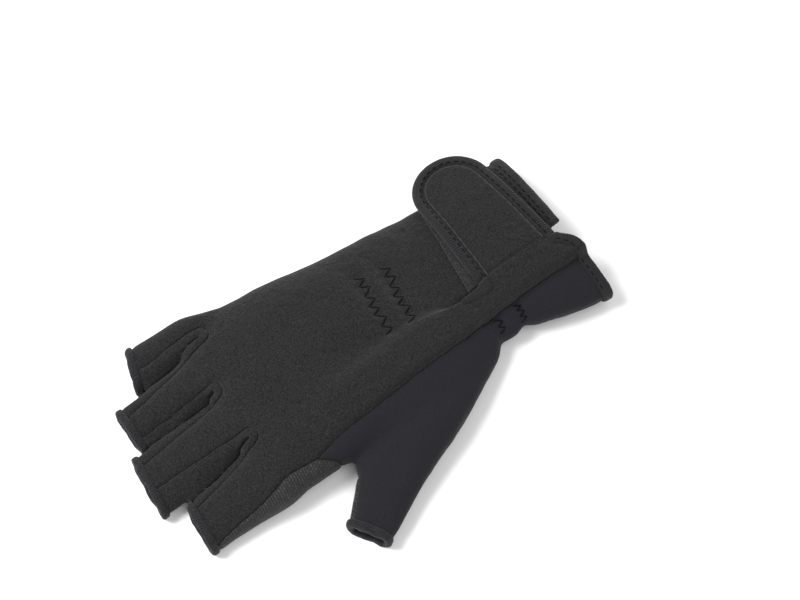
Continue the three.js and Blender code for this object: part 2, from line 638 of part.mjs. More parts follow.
// Strap sections from the root to the end, each a row of points across, drawn in by a margin
function strapGrid(from, margin) {
  const rows = 12;
  const across = 8;
  const last = strapLength - margin - seamGap;
  const grid = [];
  for (let r = 0; r <= rows; r++) {
    const turn = (r / rows) * (Math.PI / 2);
    const s = from + (last - from) * Math.sin(turn);
    const half = Math.max(strapInset(s, margin), 0.35);
    const row = [];
    for (let c = 0; c <= across; c++) {
      const [x, y] = strapPlace(s, half * (1 - (2 * c) / across)).toArray();
      row.push(r === 0 && from === 0 ? [rollEndAt(y) + seamGap, y] : [x, y]);
    }
    grid.push(row);
  }
  return grid;
}
function strapInset(s, margin) {
  const endHalf = strapEndWidth / 2;
  const straight = strapLength - endHalf;
  if (s <= straight) return strapHalf(s) - margin;
  const over = Math.min((s - straight) / (endHalf - margin), 1);
  return (endHalf - margin) * Math.sqrt(1 - over * over);
}

// The band round the strap: up its lower edge, round the end, back along its upper edge and into the slit
function strapEdge(margin) {
  const endHalf = strapEndWidth / 2 - margin;
  const straight = strapLength - strapEndWidth / 2;
  const points = [];
  const sideSteps = 5;
  for (let i = 0; i <= sideSteps; i++) {
    const s = (straight * i) / sideSteps;
    points.push(strapPlace(s, -strapHalf(s) + margin));
  }
  const turnSteps = 12;
  for (let i = 1; i < turnSteps; i++) {
    const angle = (i / turnSteps) * Math.PI - Math.PI / 2;
    points.push(strapPlace(straight + endHalf * Math.cos(angle), endHalf * Math.sin(angle)));
  }
  for (let i = sideSteps; i >= 0; i--) {
    const s = (straight * i) / sideSteps;
    points.push(strapPlace(s, strapHalf(s) - margin));
  }
  return points;
}
function strapBand() {
  const [outer, inner] = [strapEdge(0), strapEdge(strapBinding)];
  const grid = outer.map((point, i) => [point.toArray(), point.clone().lerp(inner[i], 0.5).toArray(),
    inner[i].toArray()]);
  grid[0] = grid[0].map(([, y]) => [rollEndAt(y) + seamGap, y]);
  grid.push(grid.at(-1).map(([, y]) => [rollEndAt(y) - strapBinding / 2, y]));
  return sheetOver(grid, strapStand - bindingProud / 2, wall + bindingProud);
}

// The band's end along the slit, on the roll's edge, narrowing towards the slit's inner end
const slitBandRows = [
  { y: 0, width: 1 }, { y: 0.15, width: 1 }, { y: 0.5, width: 0.9 }, { y: 0.8, width: 0.65 }, { y: 1, width: 0.4 },
];
function slitBandZone() {
  const from = strapPlace(0, strapRootWidth / 2 - strapBinding).y;
  const along = (share) => THREE.MathUtils.lerp(from, slitEnd, share);
  const rows = slitBandRows.map((row) => [along(row.y), row.width * strapBinding]);
  const left = rows.map(([y, width]) => [rollEndAt(y) - width, y]);
  return [...left, ...rows.map(([y]) => [rollEndAt(y), y]).reverse()];
}

// A piece of fastener cloth as a grid between two plan corners, its front edge running back by a slant
function patchGrid(left, right, back, front, slant) {
  const [rows, columns] = [8, 4];
  const fall = Math.tan(THREE.MathUtils.degToRad(slant));
  return Array.from({ length: rows + 1 }, (_, r) => Array.from({ length: columns + 1 }, (__, c) => {
    const x = THREE.MathUtils.lerp(left(THREE.MathUtils.lerp(front, back, c / columns)), right, r / rows);
    return [x, THREE.MathUtils.lerp(front + (x - left(front)) * fall, back, c / columns)];
  }));
}

// The soft shell, free of the bands round its open ends
const shell = gloveForm(0, 0).subtract(gloveForm(-wall, wall));
const bandInside = wall + bindingProud / 2;
const bandShell = gloveForm(bindingProud, 0).subtract(gloveForm(-bandInside, bandInside));
const slitCut = prism(slitOutline(), inHollow);
const slitBand = slitBandZone();
const open = wasm.Manifold.union([
  ...ends.map((end) => endZone(end, tipBinding + seamGap, -farOut)), cuffZone(cuffBinding + seamGap, -farOut),
]);
const panels = shell.subtract(open).subtract(slitCut).subtract(prism(grown(slitBand, seamGap), inHollow));

// What the palm's cloth covers over the index finger's outer side
function indexSide(gap) {
  const [first, last] = [indexSeamRows[0].along, indexSeamRows.at(-1).along];
  const steps = 12;
  const line = Array.from({ length: steps + 1 }, (_, i) => THREE.MathUtils.lerp(first, last, i / steps))
    .map((along) => [track(indexSeamRows, 'x', along) * palmHalf, yOf(along)]);
  const far = -2 * farOut;
  return prism(grown([...line, [far, yOf(last)], [far, yOf(first)]], gap), inTip / 2);
}
const upperZone = sideSeamZone(seamGap / 2, true).subtract(indexSide(seamGap / 2));
const lowerZone = sideSeamZone(seamGap / 2, false).add(indexSide(-seamGap / 2));
const gussetsGrown = wasm.Manifold.union(gussets.map((gusset) => gussetZone(gusset, seamGap)));
const bodyPanels = panels.subtract(gussetsGrown).subtract(thumbZone(seamGap));

// Cloth colours: rough black fleece, dark blue stretch cloth, brown-grey grip mesh, black tape
const cloth = (color, roughness) => new THREE.MeshStandardMaterial({ color, roughness, metalness: 0 });
const black = cloth(0x1c1d1f, 0.95);
const navy = cloth(0x1b1b24, 0.9);
const grip = cloth(0x3a3534, 0.7);
const tape = cloth(0x151618, 0.85);
const fastener = cloth(0x101012, 1.0);

// Faces flatter than this are joined, which clears the slivers that the cuts leave
const sliver = 0.02;

const glove = new THREE.Group();
function add(name, solid, material) {
  const { vertProperties, triVerts } = solid.asOriginal().simplify(sliver).getMesh();
  const geometry = new THREE.BufferGeometry();
  geometry.setAttribute('position', new THREE.BufferAttribute(new Float32Array(vertProperties), 3));
  geometry.setIndex(new THREE.BufferAttribute(new Uint32Array(triVerts), 1));
  geometry.computeVertexNormals();
  const mesh = new THREE.Mesh(geometry, material);
  mesh.name = name;
  glove.add(mesh);
}

add('back_panel', bodyPanels.intersect(upperZone), black);
add('palm_panel', bodyPanels.intersect(lowerZone), grip);
add('thumb_panel', panels.intersect(thumbZone(0)).subtract(thumbGripZone(seamGap)), navy);
add('thumb_grip', panels.intersect(thumbZone(0)).intersect(thumbGripZone(0)), grip);
for (const gusset of gussets) add(`gusset_${gusset.name}`, panels.intersect(gussetZone(gusset, 0)), black);
for (const end of ends) add(`binding_${end.name}`, bandShell.intersect(endZone(end, tipBinding, 0)), tape);
add('cuff_binding', bandShell.intersect(cuffZone(cuffBinding, 0)).subtract(slitCut), tape);
add('wrist_strap', sheetOver(strapGrid(0, strapBinding + seamGap), strapStand, wall), black);
add('strap_binding', strapBand().add(bandShell.intersect(prism(slitBand, inHollow)).subtract(slitCut)), tape);
const loopFront = slitEnd - loopInset;
const loopRight = 0.78 * palmHalf;
const slitRightAt = (y) => rollEndAt(y) + slitWidthAt(y);
const loopGrid = patchGrid(slitRightAt, loopRight, loopFront - loopLength, loopFront, loopSlant);
add('loop_patch', sheetOver(loopGrid, rest, loopThickness), fastener);
const hookMargin = 2 * strapBinding;
add('hook_patch', sheetOver(strapGrid(hookFrom, hookMargin), loopThickness + 2 * rest, hookThickness), fastener);

export default glove;
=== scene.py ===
# The looks of the fishing glove. Every CAD piece is meshed again from the part's own sizes, with soft edges,
# seam valleys and folds, and stitches are added. Sizes are in millimetres until a mesh is handed to Blender.
import math
import bpy
import numpy as np
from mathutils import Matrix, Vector


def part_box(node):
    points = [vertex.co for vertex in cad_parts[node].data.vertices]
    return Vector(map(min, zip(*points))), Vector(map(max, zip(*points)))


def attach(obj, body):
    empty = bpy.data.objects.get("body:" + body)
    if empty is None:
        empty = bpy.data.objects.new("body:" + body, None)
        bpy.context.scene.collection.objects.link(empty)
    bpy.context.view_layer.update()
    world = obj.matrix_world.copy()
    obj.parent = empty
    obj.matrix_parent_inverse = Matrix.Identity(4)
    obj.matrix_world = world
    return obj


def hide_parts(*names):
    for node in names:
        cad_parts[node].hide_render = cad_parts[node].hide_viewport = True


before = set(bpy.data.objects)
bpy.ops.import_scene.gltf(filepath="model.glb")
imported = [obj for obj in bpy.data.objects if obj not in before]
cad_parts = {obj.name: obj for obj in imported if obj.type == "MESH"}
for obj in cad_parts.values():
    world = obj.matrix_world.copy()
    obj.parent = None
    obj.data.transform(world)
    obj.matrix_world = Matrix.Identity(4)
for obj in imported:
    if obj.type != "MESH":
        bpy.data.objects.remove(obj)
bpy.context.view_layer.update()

MM = 0.001
F = np.float32

# Sizes of the CAD part
CUFF, PALM, WIDTH = 109.0, 50.0, 92.0
HALF = WIDTH / 2
HAND_HIGH, STALL_HIGH, FINGER_LONG = 25.0, 18.5, 47.8
ROW_SHIFT, FINGER_GAP = 3.1, 1.0
THUMB_TURN, THUMB_LONG, THUMB_WIDE, THUMB_HIGH = 31.7, 78.0, 21.0, 18.0
THUMB_ROOT = (-0.674 * HALF, -0.321 * CUFF)
WALL = 2.5
GAP = 0.3  # between two pieces that are sewn together
TIP_BAND, CUFF_BAND, PROUD = 4.0, 5.0, 0.7
CUFF_SLANT = -4.5
STRAP_LONG, STRAP_FROM_CUFF, STRAP_ROOT, STRAP_END, STRAP_TURN, STRAP_BAND = 60.0, 27.5, 40.5, 36.0, 5.5, 4.6
LOOP_THICK, HOOK_THICK, REST = 1.2, 1.0, 0.3
HOOK_FROM, LOOP_LONG, LOOP_INSET, LOOP_SLANT = 14.0, 28.0, 6.0, -4.5
SLIT_WIDE, SLIT_END_WIDE, SLIT_LONG = 5.5, 0.9, 58.0
SLIT_END = SLIT_LONG - CUFF
HAND_POWER, STALL_POWER, SINK = 2.6, 2.5, 0.6
ROLL_WIDE, ROLL_EDGE, ROLL_FALL, ROLL_FALL_LONG = 13.0, 4.0, 8.0, 20.0
STAND = LOOP_THICK + HOOK_THICK + 3 * REST
ROLL_RISE = STAND + WALL

# Sizes of the looks alone
SEAM = 0.05  # half of what shows between two sewn pieces
TUCK = 0.8  # how far a panel's edge runs on under a band
LOOK_TIP_GAP = 0.8  # the slots' width at the tips
# Each finger's roll leans over the next finger: shift in x for each mm of height, and the heights that count
SLOT_LEAN, SLOT_TOP, LEAN_FROM, LEAN_TO = 0.45, 10.0, 5, 14
# Cloth that fills up the room between two fingers: half width, height, more height at the root, and how far
# it stops before the shorter finger's tip
FILL_HALF, FILL_HIGH, FILL_ROOT, FILL_SHORT = 4.2, 8.8, 3.6, 3.0
ROLL_MORE, CROTCH_MORE = 1.8, 0.5  # how much wider than the CAD's the strips between the fingers look
HAND_REACH = 58.0  # the hand's own form ends under the fingers' roots
ROOT_LAP = 3.0  # how far the strap's cloth laps on the roll
FINE = 0.5  # grid for the strap and its fastener

# along (share of the reach), left, right, top
HAND = [
    (-1.065, -0.755, 1.0, 0.76), (-1.0, -0.75, 1.0, 0.76), (-0.916, -0.725, 0.989, 0.78),
    (-0.794, -0.674, 0.967, 0.8), (-0.673, -0.62, 0.946, 0.76), (-0.579, -0.609, 0.935, 0.74),
    (-0.467, -0.674, 0.924, 0.8), (-0.327, -0.761, 0.913, 0.88), (-0.14, -0.837, 0.924, 0.96),
    (0.1, -0.88, 0.946, 1.0), (0.5, -0.91, 0.972, 0.98), (0.8, -0.93, 1.0, 0.92),
    (0.98, -0.94, 1.015, 0.83), (1.08, -0.93, 1.0, 0.76), (1.18, -0.9, 0.97, 0.62),
]
# name, width, width at the tip, length, lean (shares), slant in degrees, height at the tip (share)
FINGERS = [
    ("index", 0.301, 0.238, 0.8, -0.052, -3.6, 0.66), ("middle", 0.26, 0.315, 1.0, -0.05, -3.3, 0.61),
    ("ring", 0.252, 0.213, 0.9, -0.034, 1.9, 0.61), ("pinky", 0.163, 0.206, 0.617, -0.008, -14.3, 0.63),
]
# along, spread, drawn, top, flat
STALL = [
    (-0.55, 0.0, 2.4, 0.86, 0.0), (-0.2, 0.0, 0.8, 1.0, 0.0), (0.05, 0.02, 0.0, 1.02, 0.04),
    (0.35, 0.4, 0.0, 1.0, 0.4), (0.7, 0.8, 0.0, 1.0, 0.82), (1.0, 1.0, 0.0, 1.0, 1.0),
    (1.25, 1.1, 0.0, 1.0, 1.0),
]
# name, crotch, left, right
GUSSETS = [("index_middle", 1.05, 0.046, 0.121), ("middle_ring", 1.1, 0.057, 0.046),
           ("ring_pinky", 0.955, 0.054, 0.08)]
GUSSET_UNDER = 0.046 * WIDTH
# along, left, right, top
THUMB = [
    (-0.42, -0.8, 1.0, 0.5), (-0.23, -1.13, 1.5, 0.74), (0.0, -1.2, 2.0, 0.93), (0.25, -1.15, 2.2, 1.02),
    (0.5, -0.95, 2.1, 0.94), (0.66, -0.88, 1.82, 0.84), (0.74, -0.87, 1.52, 0.78), (0.87, -0.85, 1.24, 0.71),
    (1.0, -0.82, 1.0, 0.65), (1.12, -0.8, 0.95, 0.63),
]
# along, seam, roll, rise
ROLL = [
    (-1.065, -0.32, 1.0, 1.0), (-0.654, -0.391, 1.0, 1.0), (-0.514, -0.435, 0.93, 0.88),
    (-0.374, -0.5, 1.0, 0.66), (-0.187, -0.565, 1.08, 0.5), (0.0, -0.641, 1.08, 0.4),
    (0.44, -0.717, 1.0, 0.26), (0.68, -0.783, 1.0, 0.1), (1.18, -0.87, 1.0, 0.0),
]
# x, y, turn, long, wide, height
FOLDS = [
    (0.22, -0.178, 92, 0.2, 0.035, -0.5), (0.22, -0.28, 85, 0.19, 0.032, -0.5),
    (0.24, -0.228, 88, 0.16, 0.03, 0.35), (0.1, 0.55, 8, 0.3, 0.09, 0.3),
    (0.62, 0.2, 4, 0.4, 0.1, 0.28), (-0.12, -0.08, -12, 0.32, 0.08, -0.5),
]
# along, seam
PALM_SEAM = [
    (-1.0, -0.5), (-0.654, -0.5), (-0.542, -0.435), (-0.42, -0.217), (-0.187, 0.13), (0.1, 0.196),
    (0.4, 0.087), (0.76, -0.217),
]
CROTCH_SEAM = 0.48
INDEX_SEAM = [
    (0.46, -0.74), (0.68, -0.783), (0.93, -0.78), (1.09, -0.826), (1.25, -0.862), (1.53, -0.905),
    (1.76, -0.955), (2.3, -1.02),
]
IN_HOLLOW = STALL_HIGH / 2
IN_TIP = min(row[6] for row in FINGERS) * STALL_HIGH / 2
# The side seam's height: share of the finger's length past the crotches, height
SIDE_SEAM = [(-10, IN_HOLLOW), (0, IN_HOLLOW), (0.7, 0.93 * IN_TIP), (10, 0.93 * IN_TIP)]
# Where the thumb's grip starts (across, along) and how high it reaches (across, height), in shares
GRIP_START = [(-1.2, 0.5), (0.6, 0.72), (0.95, 0.76), (1.6, 0.84)]
GRIP_EDGE = [(-1.5, 0.2), (0.0, 0.2), (0.35, 0.5), (1.5, 0.5)]
# The cuff tape's turn up to the strap: share of the roll's width, share of the way up
CUFF_CURVE = [(0.85, 0.0), (0.65, 0.05), (0.45, 0.2), (0.3, 0.42), (0.15, 0.75), (0.0, 1.0), (-0.1, 1.0)]
# The tape along the slit: share of the way to the slit's end, share of the strap tape's width
SLIT_BAND = [(0, 1.0), (0.15, 1.0), (0.5, 0.9), (0.8, 0.65), (1.0, 0.4)]
# Zigzag seams that pull the cloth in: start, end, zigs, swing, depth of the pucker
ZIGZAGS = {
    "back": [((-6, -18.5), (24, -21.0), 6, 2.1, 0.75), ((-6, -29.5), (23, -33.0), 6, 2.1, 0.75)],
    "wrist": [((-26.0, -61.5), (-20.8, -62.0), 2, 1.5, 0.8), ((-26.0, -72.0), (-19.5, -72.5), 3, 1.5, 0.8)],
}
PUCKER_HALF = 3.2  # how wide a pucker spreads on each side
# Dents beside the wrist's zigzags, and the bulge between them: x, y, half width, half length, depth
PINCHES = [(-29, -60, 6, 3.0, 1.6), (-28, -72, 6, 3.0, 1.6), (-31, -66, 4, 3.5, -0.7)]


def curve(rows, column):
    """A table's column as a smooth curve over its first column"""
    at = np.array([row[0] for row in rows])
    v = np.array([row[column] for row in rows])
    slope = np.empty(len(v))
    slope[1:-1] = (v[2:] - v[:-2]) / (at[2:] - at[:-2])
    slope[0] = (v[1] - v[0]) / (at[1] - at[0])
    slope[-1] = (v[-1] - v[-2]) / (at[-1] - at[-2])
    q = np.linspace(at[0], at[-1], 600)
    i = np.clip(np.searchsorted(at, q, side="right") - 1, 0, len(at) - 2)
    span = at[i + 1] - at[i]
    t = (q - at[i]) / span
    out = (v[i] * (2 * t**3 - 3 * t**2 + 1) + slope[i] * span * (t**3 - 2 * t**2 + t)
           + v[i + 1] * (3 * t**2 - 2 * t**3) + slope[i + 1] * span * (t**3 - t**2))
    return lambda value: np.interp(value, q, out)


def along_of(y):
    return np.where(np.asarray(y) < 0, np.asarray(y) / CUFF, np.asarray(y) / PALM)


def y_of(along):
    return along * CUFF if along < 0 else along * PALM


def ramp(t):
    t = np.clip(t, 0, 1)
    return t * t * (3 - 2 * t)


hand_left, hand_right, hand_top = (curve(HAND, c) for c in (1, 2, 3))
roll_seam, roll_wide, roll_rise = (curve(ROLL, c) for c in (1, 2, 3))
palm_seam = curve(PALM_SEAM, 1)


def hand_at(y):
    along = along_of(y)
    left, right = hand_left(along) * HALF, hand_right(along) * HALF
    return (left + right) / 2, (right - left) / 2, hand_top(along) * HAND_HIGH


def roll_end(y):
    along = along_of(y)
    return roll_seam(along) * HALF + roll_wide(along) * ROLL_WIDE


def slit_width(y):
    return SLIT_WIDE + (np.minimum(y, SLIT_END) + CUFF) / SLIT_LONG * (SLIT_END_WIDE - SLIT_WIDE)


def turned(x, y, degrees):
    c, s = math.cos(math.radians(degrees)), math.sin(math.radians(degrees))
    return x * c - y * s, x * s + y * c


def lift_at(x, y):
    """How far the roll and the folds lift the cloth of the back"""
    along = along_of(y)
    seam = roll_seam(along) * HALF
    end = seam + roll_wide(along) * ROLL_WIDE
    fall = slit_width(y) + (ROLL_FALL - SLIT_END_WIDE) * ramp((y - SLIT_END) / ROLL_FALL_LONG)
    sides = ramp((x - seam + ROLL_EDGE / 2) / ROLL_EDGE) * ramp((end + fall - x) / fall)
    lift = sides * roll_rise(along) * ROLL_RISE
    for fx, fy, turn, long, wide, height in FOLDS:
        dx, dy = turned(x - fx * HALF, y - y_of(fy), -turn)
        lift = lift + height * WALL * np.exp(-(dx / (wide * WIDTH)) ** 2 - (dy / (long * WIDTH)) ** 2)
    return lift


def smin(a, b, k):
    h = np.clip(0.5 + 0.5 * (b - a) / k, 0, 1)
    return b + (a - b) * h - k * h * (1 - h)


def smax(a, b, k):
    return -smin(-a, -b, k)


def section(u, v, a, b, power):
    """Distance to a rounded section of half width a and half height b"""
    u, v = np.abs(u) / a, np.abs(v) / b
    g = np.maximum((u**power + v**power) ** (1 / power), 0.02)
    steep = g ** (1 - power) * np.sqrt((u ** (power - 1) / a) ** 2 + (v ** (power - 1) / b) ** 2)
    return (g - 1) / np.maximum(steep, 0.02)


def polyline(points, x, y):
    """Distance to an open line in plan"""
    far = np.full(np.broadcast(x, y).shape, 1e9)
    for (ax, ay), (bx, by) in zip(points, points[1:]):
        ex, ey = bx - ax, by - ay
        t = np.clip(((x - ax) * ex + (y - ay) * ey) / max(ex * ex + ey * ey, 1e-12), 0, 1)
        far = np.minimum(far, (x - ax - t * ex) ** 2 + (y - ay - t * ey) ** 2)
    return np.sqrt(far)


def polygon(points, x, y):
    """Signed distance to a closed outline in plan, minus inside"""
    far = polyline(points + points[:1], x, y)
    inside = np.zeros(far.shape, bool)
    for (ax, ay), (bx, by) in zip(points, points[1:] + points[:1]):
        if ay != by:
            inside ^= ((ay > y) != (by > y)) & (x < (bx - ax) * (y - ay) / (by - ay) + ax)
    return np.where(inside, -far, far)


def wobble(x, y, z, size, seed):
    """A smooth, fixed unevenness of about plus or minus one"""
    draw = np.random.default_rng(seed)
    out = 0
    for _ in range(5):
        way = draw.normal(size=3)
        way *= 2 * math.pi / (size * draw.uniform(0.8, 1.6)) / np.linalg.norm(way)
        out = out + np.sin(way[0] * x + way[1] * y + way[2] * z + draw.uniform(0, 6.28))
    return out / 3


# Fingers in a row, their slots and their open ends
row_wide = sum(f[1] for f in FINGERS) * WIDTH + (len(FINGERS) - 1) * FINGER_GAP
stalls, at = [], ROW_SHIFT - row_wide / 2
for name, wide, tip_wide, long, lean, slant, tip_top in FINGERS:
    wide, tip_wide, lean, long = wide * WIDTH, tip_wide * WIDTH, lean * WIDTH, long * FINGER_LONG
    turn = math.degrees(math.atan2(-lean, long))
    stalls.append(dict(name=name, x=at + wide / 2, wide=wide, tip_wide=tip_wide, long=long, lean=lean,
                       slant=slant, tip_top=tip_top, turn=turn, reach=math.hypot(lean, long)))
    at += wide + FINGER_GAP


def edge_of(stall, side, y):
    share = (y - PALM) / stall["long"]
    half = (stall["wide"] + (stall["tip_wide"] - stall["wide"]) * share) / 2
    return stall["x"] + stall["lean"] * share + side * half


slots = []
for i, (name, crotch, left, right) in enumerate(GUSSETS):
    a, b = stalls[i], stalls[i + 1]
    start, tip = crotch * PALM, PALM + min(a["long"], b["long"])
    x0, x1 = ((edge_of(a, 1, y) + edge_of(b, -1, y)) / 2 for y in (start, tip))
    slots.append(dict(name=name, start=start, tip=tip, x0=x0, x1=x1, left=left * WIDTH, right=right * WIDTH))


def slot_middle(slot, y):
    return slot["x0"] + (slot["x1"] - slot["x0"]) * (y - slot["start"]) / (slot["tip"] - slot["start"])


def strip(slot, crotch_half, left, right):
    """Outline of a strip along a slot: its half width at the crotch, and on each side at the tip"""
    end = slot["tip"] + PALM / 2

    def widen(half):
        return crotch_half + (half - crotch_half) * (end - slot["start"]) / (slot["tip"] - slot["start"])
    points = [(slot_middle(slot, end) + widen(right), end), (slot_middle(slot, end) - widen(left), end)]
    for i in range(11):
        angle = math.pi + i / 10 * math.pi
        dx, dy = crotch_half * math.cos(angle), crotch_half * math.sin(angle)
        points.append((slot["x0"] + dx, slot["start"] + dy))
    return points


# The grid that all fields are worked out on
STEP = 0.7
LOW, HIGH = (-86.0, -119.0, -2.8), (57.0, 110.0, 34.0)
gx, gy, gz = (np.arange(a, b, STEP) for a, b in zip(LOW, HIGH))
X, Y, Z = gx[:, None, None], gy[None, :, None], gz[None, None, :]
PX, PY = X[:, :, 0], Y[:, :, 0]


def local(root, turn):
    """Coordinates along and across a tube's own axis"""
    c, s = math.cos(math.radians(turn)), math.sin(math.radians(turn))
    dx, dy = X - root[0], Y - root[1]
    return dx * c + dy * s, -dx * s + dy * c


def tube_of(across, low, high_x, high):
    """A finger's or thumb's tube between two sides, standing a little below the floor"""
    return section(across - (low + high_x) / 2, Z - (high - SINK) / 2, (high_x - low) / 2, (high + SINK) / 2,
                   STALL_POWER)


# The glove's outer form as a distance, minus inside
mid, half, top = hand_at(gy)
mid, half, top = mid[None, :, None], half[None, :, None], top[None, :, None]
lift = lift_at(X, Y)
low_z = np.broadcast_to(Z, (len(gx), len(gy), len(gz))).copy()
for _ in range(5):
    low_z = 0.5 * (low_z + Z - lift * ramp((low_z / top - 0.4) / 0.35))
body = section(X - mid, low_z - (top - SINK) / 2, half, (top + SINK) / 2, HAND_POWER)
body = smax(body, Y - HAND_REACH, 3.0)
del low_z
for stall in stalls:
    across, along = local((stall["x"], PALM), stall["turn"])
    share = along / stall["reach"]
    wide = stall["wide"] + (stall["tip_wide"] - stall["wide"]) * curve(STALL, 1)(share)
    flat = curve(STALL, 4)(share)
    high = (curve(STALL, 3)(share) * (1 - flat) + stall["tip_top"] * flat) * STALL_HIGH
    half_wide = wide / 2 - curve(STALL, 2)(share) * WALL
    tube = tube_of(across, -half_wide, half_wide, high)
    body = smin(body, smax(tube, -(along + 0.5 * stall["reach"]), 3.0), 2.6)
thumb_q, thumb_s = local(THUMB_ROOT, THUMB_TURN)
share = thumb_s / THUMB_LONG
left, right = (curve(THUMB, c)(share) * THUMB_WIDE / 2 for c in (1, 2))
high = curve(THUMB, 3)(share) * THUMB_HIGH
tube = tube_of(thumb_q, left, right, high)
body = smin(body, smax(tube, -(thumb_s + 0.4 * THUMB_LONG), 4.0), 4.5)
del tube
lean = SLOT_LEAN * (np.clip(Z[0, 0], LEAN_FROM, LEAN_TO) - SLOT_TOP)


def leaning(flat):
    """A field in plan, moved in x from layer to layer"""
    out = np.empty(flat.shape + (len(lean),), F)
    for k, shift in enumerate(lean / STEP):
        whole = math.floor(shift)
        part = shift - whole
        out[:, :, k] = np.roll(flat, whole, axis=0) * (1 - part) + np.roll(flat, whole + 1, axis=0) * part
    return out


for slot in slots:
    tip = LOOK_TIP_GAP / 2
    filled = leaning(polygon(strip(slot, FILL_HALF, FILL_HALF, FILL_HALF), PX, PY))
    filled = smax(filled, Y - slot["tip"] + FILL_SHORT, 1.5)
    near_root = ramp(1 - (Y - slot["start"]) / (0.8 * (slot["tip"] - slot["start"])))
    body = smin(body, smax(filled, Z - FILL_HIGH - FILL_ROOT * near_root, 2.5), 2.0)
    body = smax(body, -leaning(polygon(strip(slot, FINGER_GAP / 2, tip, tip), PX, PY)), 0.9)
del filled
body = smax(body, -Z, 0.8)
steep = np.sqrt(sum(g * g for g in np.gradient(body, STEP)))
body = (body / np.clip(steep, 0.35, 3.0)).astype(F)
del steep
body += (0.3 * wobble(X, Y, Z, 26, 3) + 0.12 * wobble(X, Y, Z, 9, 5)).astype(F) * ramp(Z / 4).astype(F)

# The puckers at the zigzag seams
for (ax, ay), (bx, by), zigs, swing, depth in ZIGZAGS["back"] + ZIGZAGS["wrist"]:
    long = math.hypot(bx - ax, by - ay)
    ex, ey = (bx - ax) / long, (by - ay) / long
    u, v = (X - ax) * ex + (Y - ay) * ey, (Y - ay) * ex - (X - ax) * ey
    over = ramp((u + 2) / 3) * ramp((long + 2 - u) / 3) * np.exp(-(v / PUCKER_HALF) ** 2)
    waves = 0.65 + 0.35 * np.cos(2 * math.pi * u / (long / zigs))
    body += (depth * over * waves).astype(F) * ramp((Z - 8) / 4).astype(F)
for px, py, wide, long, deep in PINCHES:
    body += (deep * np.exp(-((X - px) / wide) ** 2 - ((Y - py) / long) ** 2)).astype(F)


def sampled(field, x, y, z):
    """A grid field at other places, straight between its points"""
    f = [(np.clip((v - low) / STEP, 0, n - 1.001), low) for v, low, n in zip((x, y, z), LOW, field.shape)]
    i = [np.floor(v).astype(int) for v, _ in f]
    t = [v - k for (v, _), k in zip(f, i)]
    out = 0
    for a in (0, 1):
        for b in (0, 1):
            for c in (0, 1):
                weight = (t[0] if a else 1 - t[0]) * (t[1] if b else 1 - t[1]) * (t[2] if c else 1 - t[2])
                out = out + weight * field[i[0] + a, i[1] + b, i[2] + c]
    return out


def top_of_body():
    """Height of the outer surface over each point of the plan"""
    inside = body < 0
    last = body.shape[2] - 1 - np.argmax(inside[:, :, ::-1], axis=2)
    last = np.clip(last, 0, body.shape[2] - 2)
    grid = np.ogrid[:body.shape[0], :body.shape[1]]
    a, b = body[grid[0], grid[1], last], body[grid[0], grid[1], last + 1]
    z = gz[last] + STEP * np.clip(a / np.where(a == b, 1, a - b), 0, 1)
    return np.where(inside.any(axis=2), z, 0.0)


top_map = top_of_body()


def top_z(x, y):
    x, y = np.asarray(x, float), np.asarray(y, float)
    return sampled(top_map[:, :, None].repeat(2, axis=2), x, y, np.full(x.shape, LOW[2]))


def plan(sd):
    return sd[:, :, None].astype(F)


# Zones in plan, all minus inside
side_mid, side_half, _ = hand_at(CROTCH_SEAM * PALM)
crotch_seam = (float(side_mid - side_half), CROTCH_SEAM * PALM)
far = 0.65 * WIDTH
around = [(crotch_seam[0] * 1.12, crotch_seam[1] * 1.27), (crotch_seam[0] * 1.3, PALM + far),
          (-3 * far, PALM + far), (-3 * far, -CUFF - far)]


def seam_points(fn, first, last, steps):
    line = [(float(fn(a)) * HALF, y_of(a)) for a in np.linspace(first, last, steps)]
    return [(line[0][0], line[0][1] - far)] + line


over_line = seam_points(roll_seam, -1.065, 0.68, 60)
thumb_over = plan(polygon(over_line + [crotch_seam] + around, PX, PY))
under_line = seam_points(palm_seam, -1.0, 0.76, 60) + [(-0.65 * HALF, 0.72 * PALM)]
thumb_under = plan(polygon(under_line + [crotch_seam] + around, PX, PY))
thumb_zone = np.where(Z > IN_HOLLOW, thumb_over, thumb_under).astype(F)

gusset_zones = []
for slot in slots:
    h = FINGER_GAP / 2 + WALL + GAP
    up = leaning(polygon(strip(slot, h + CROTCH_MORE, slot["left"] + ROLL_MORE, slot["right"]), PX, PY))
    under = leaning(polygon(strip(slot, h, GUSSET_UNDER, GUSSET_UNDER), PX, PY))
    gusset_zones.append(np.where(Z > IN_TIP, up, under).astype(F))

# The back panel lies above the side seam, apart from the index finger's outer side
seam_z = np.interp((Y - PALM) / FINGER_LONG, [a for a, b in SIDE_SEAM], [b for a, b in SIDE_SEAM])
index_line = [(float(curve(INDEX_SEAM, 1)(a)) * HALF, y_of(a))
              for a in np.linspace(INDEX_SEAM[0][0], INDEX_SEAM[-1][0], 40)]
outside = [(-2 * far, index_line[-1][1]), (-2 * far, index_line[0][1])]
index_side = plan(polygon(index_line + outside, PX, PY))
upper = np.maximum(seam_z - Z, -index_side).astype(F)

slit_ys = np.linspace(SLIT_END - 1.35 * SLIT_LONG, SLIT_END, 40)
slit_line = [(float(roll_end(y)), float(y)) for y in slit_ys]
slit = plan(polygon(slit_line + [(x + float(slit_width(y)), y) for x, y in slit_line][::-1], PX, PY))
slit = np.maximum(slit, IN_HOLLOW - Z)


def strap_place(s, q):
    x, y = turned(s, q, STRAP_TURN)
    return float(roll_end(STRAP_FROM_CUFF - CUFF)) + GAP + x, STRAP_FROM_CUFF - CUFF + y


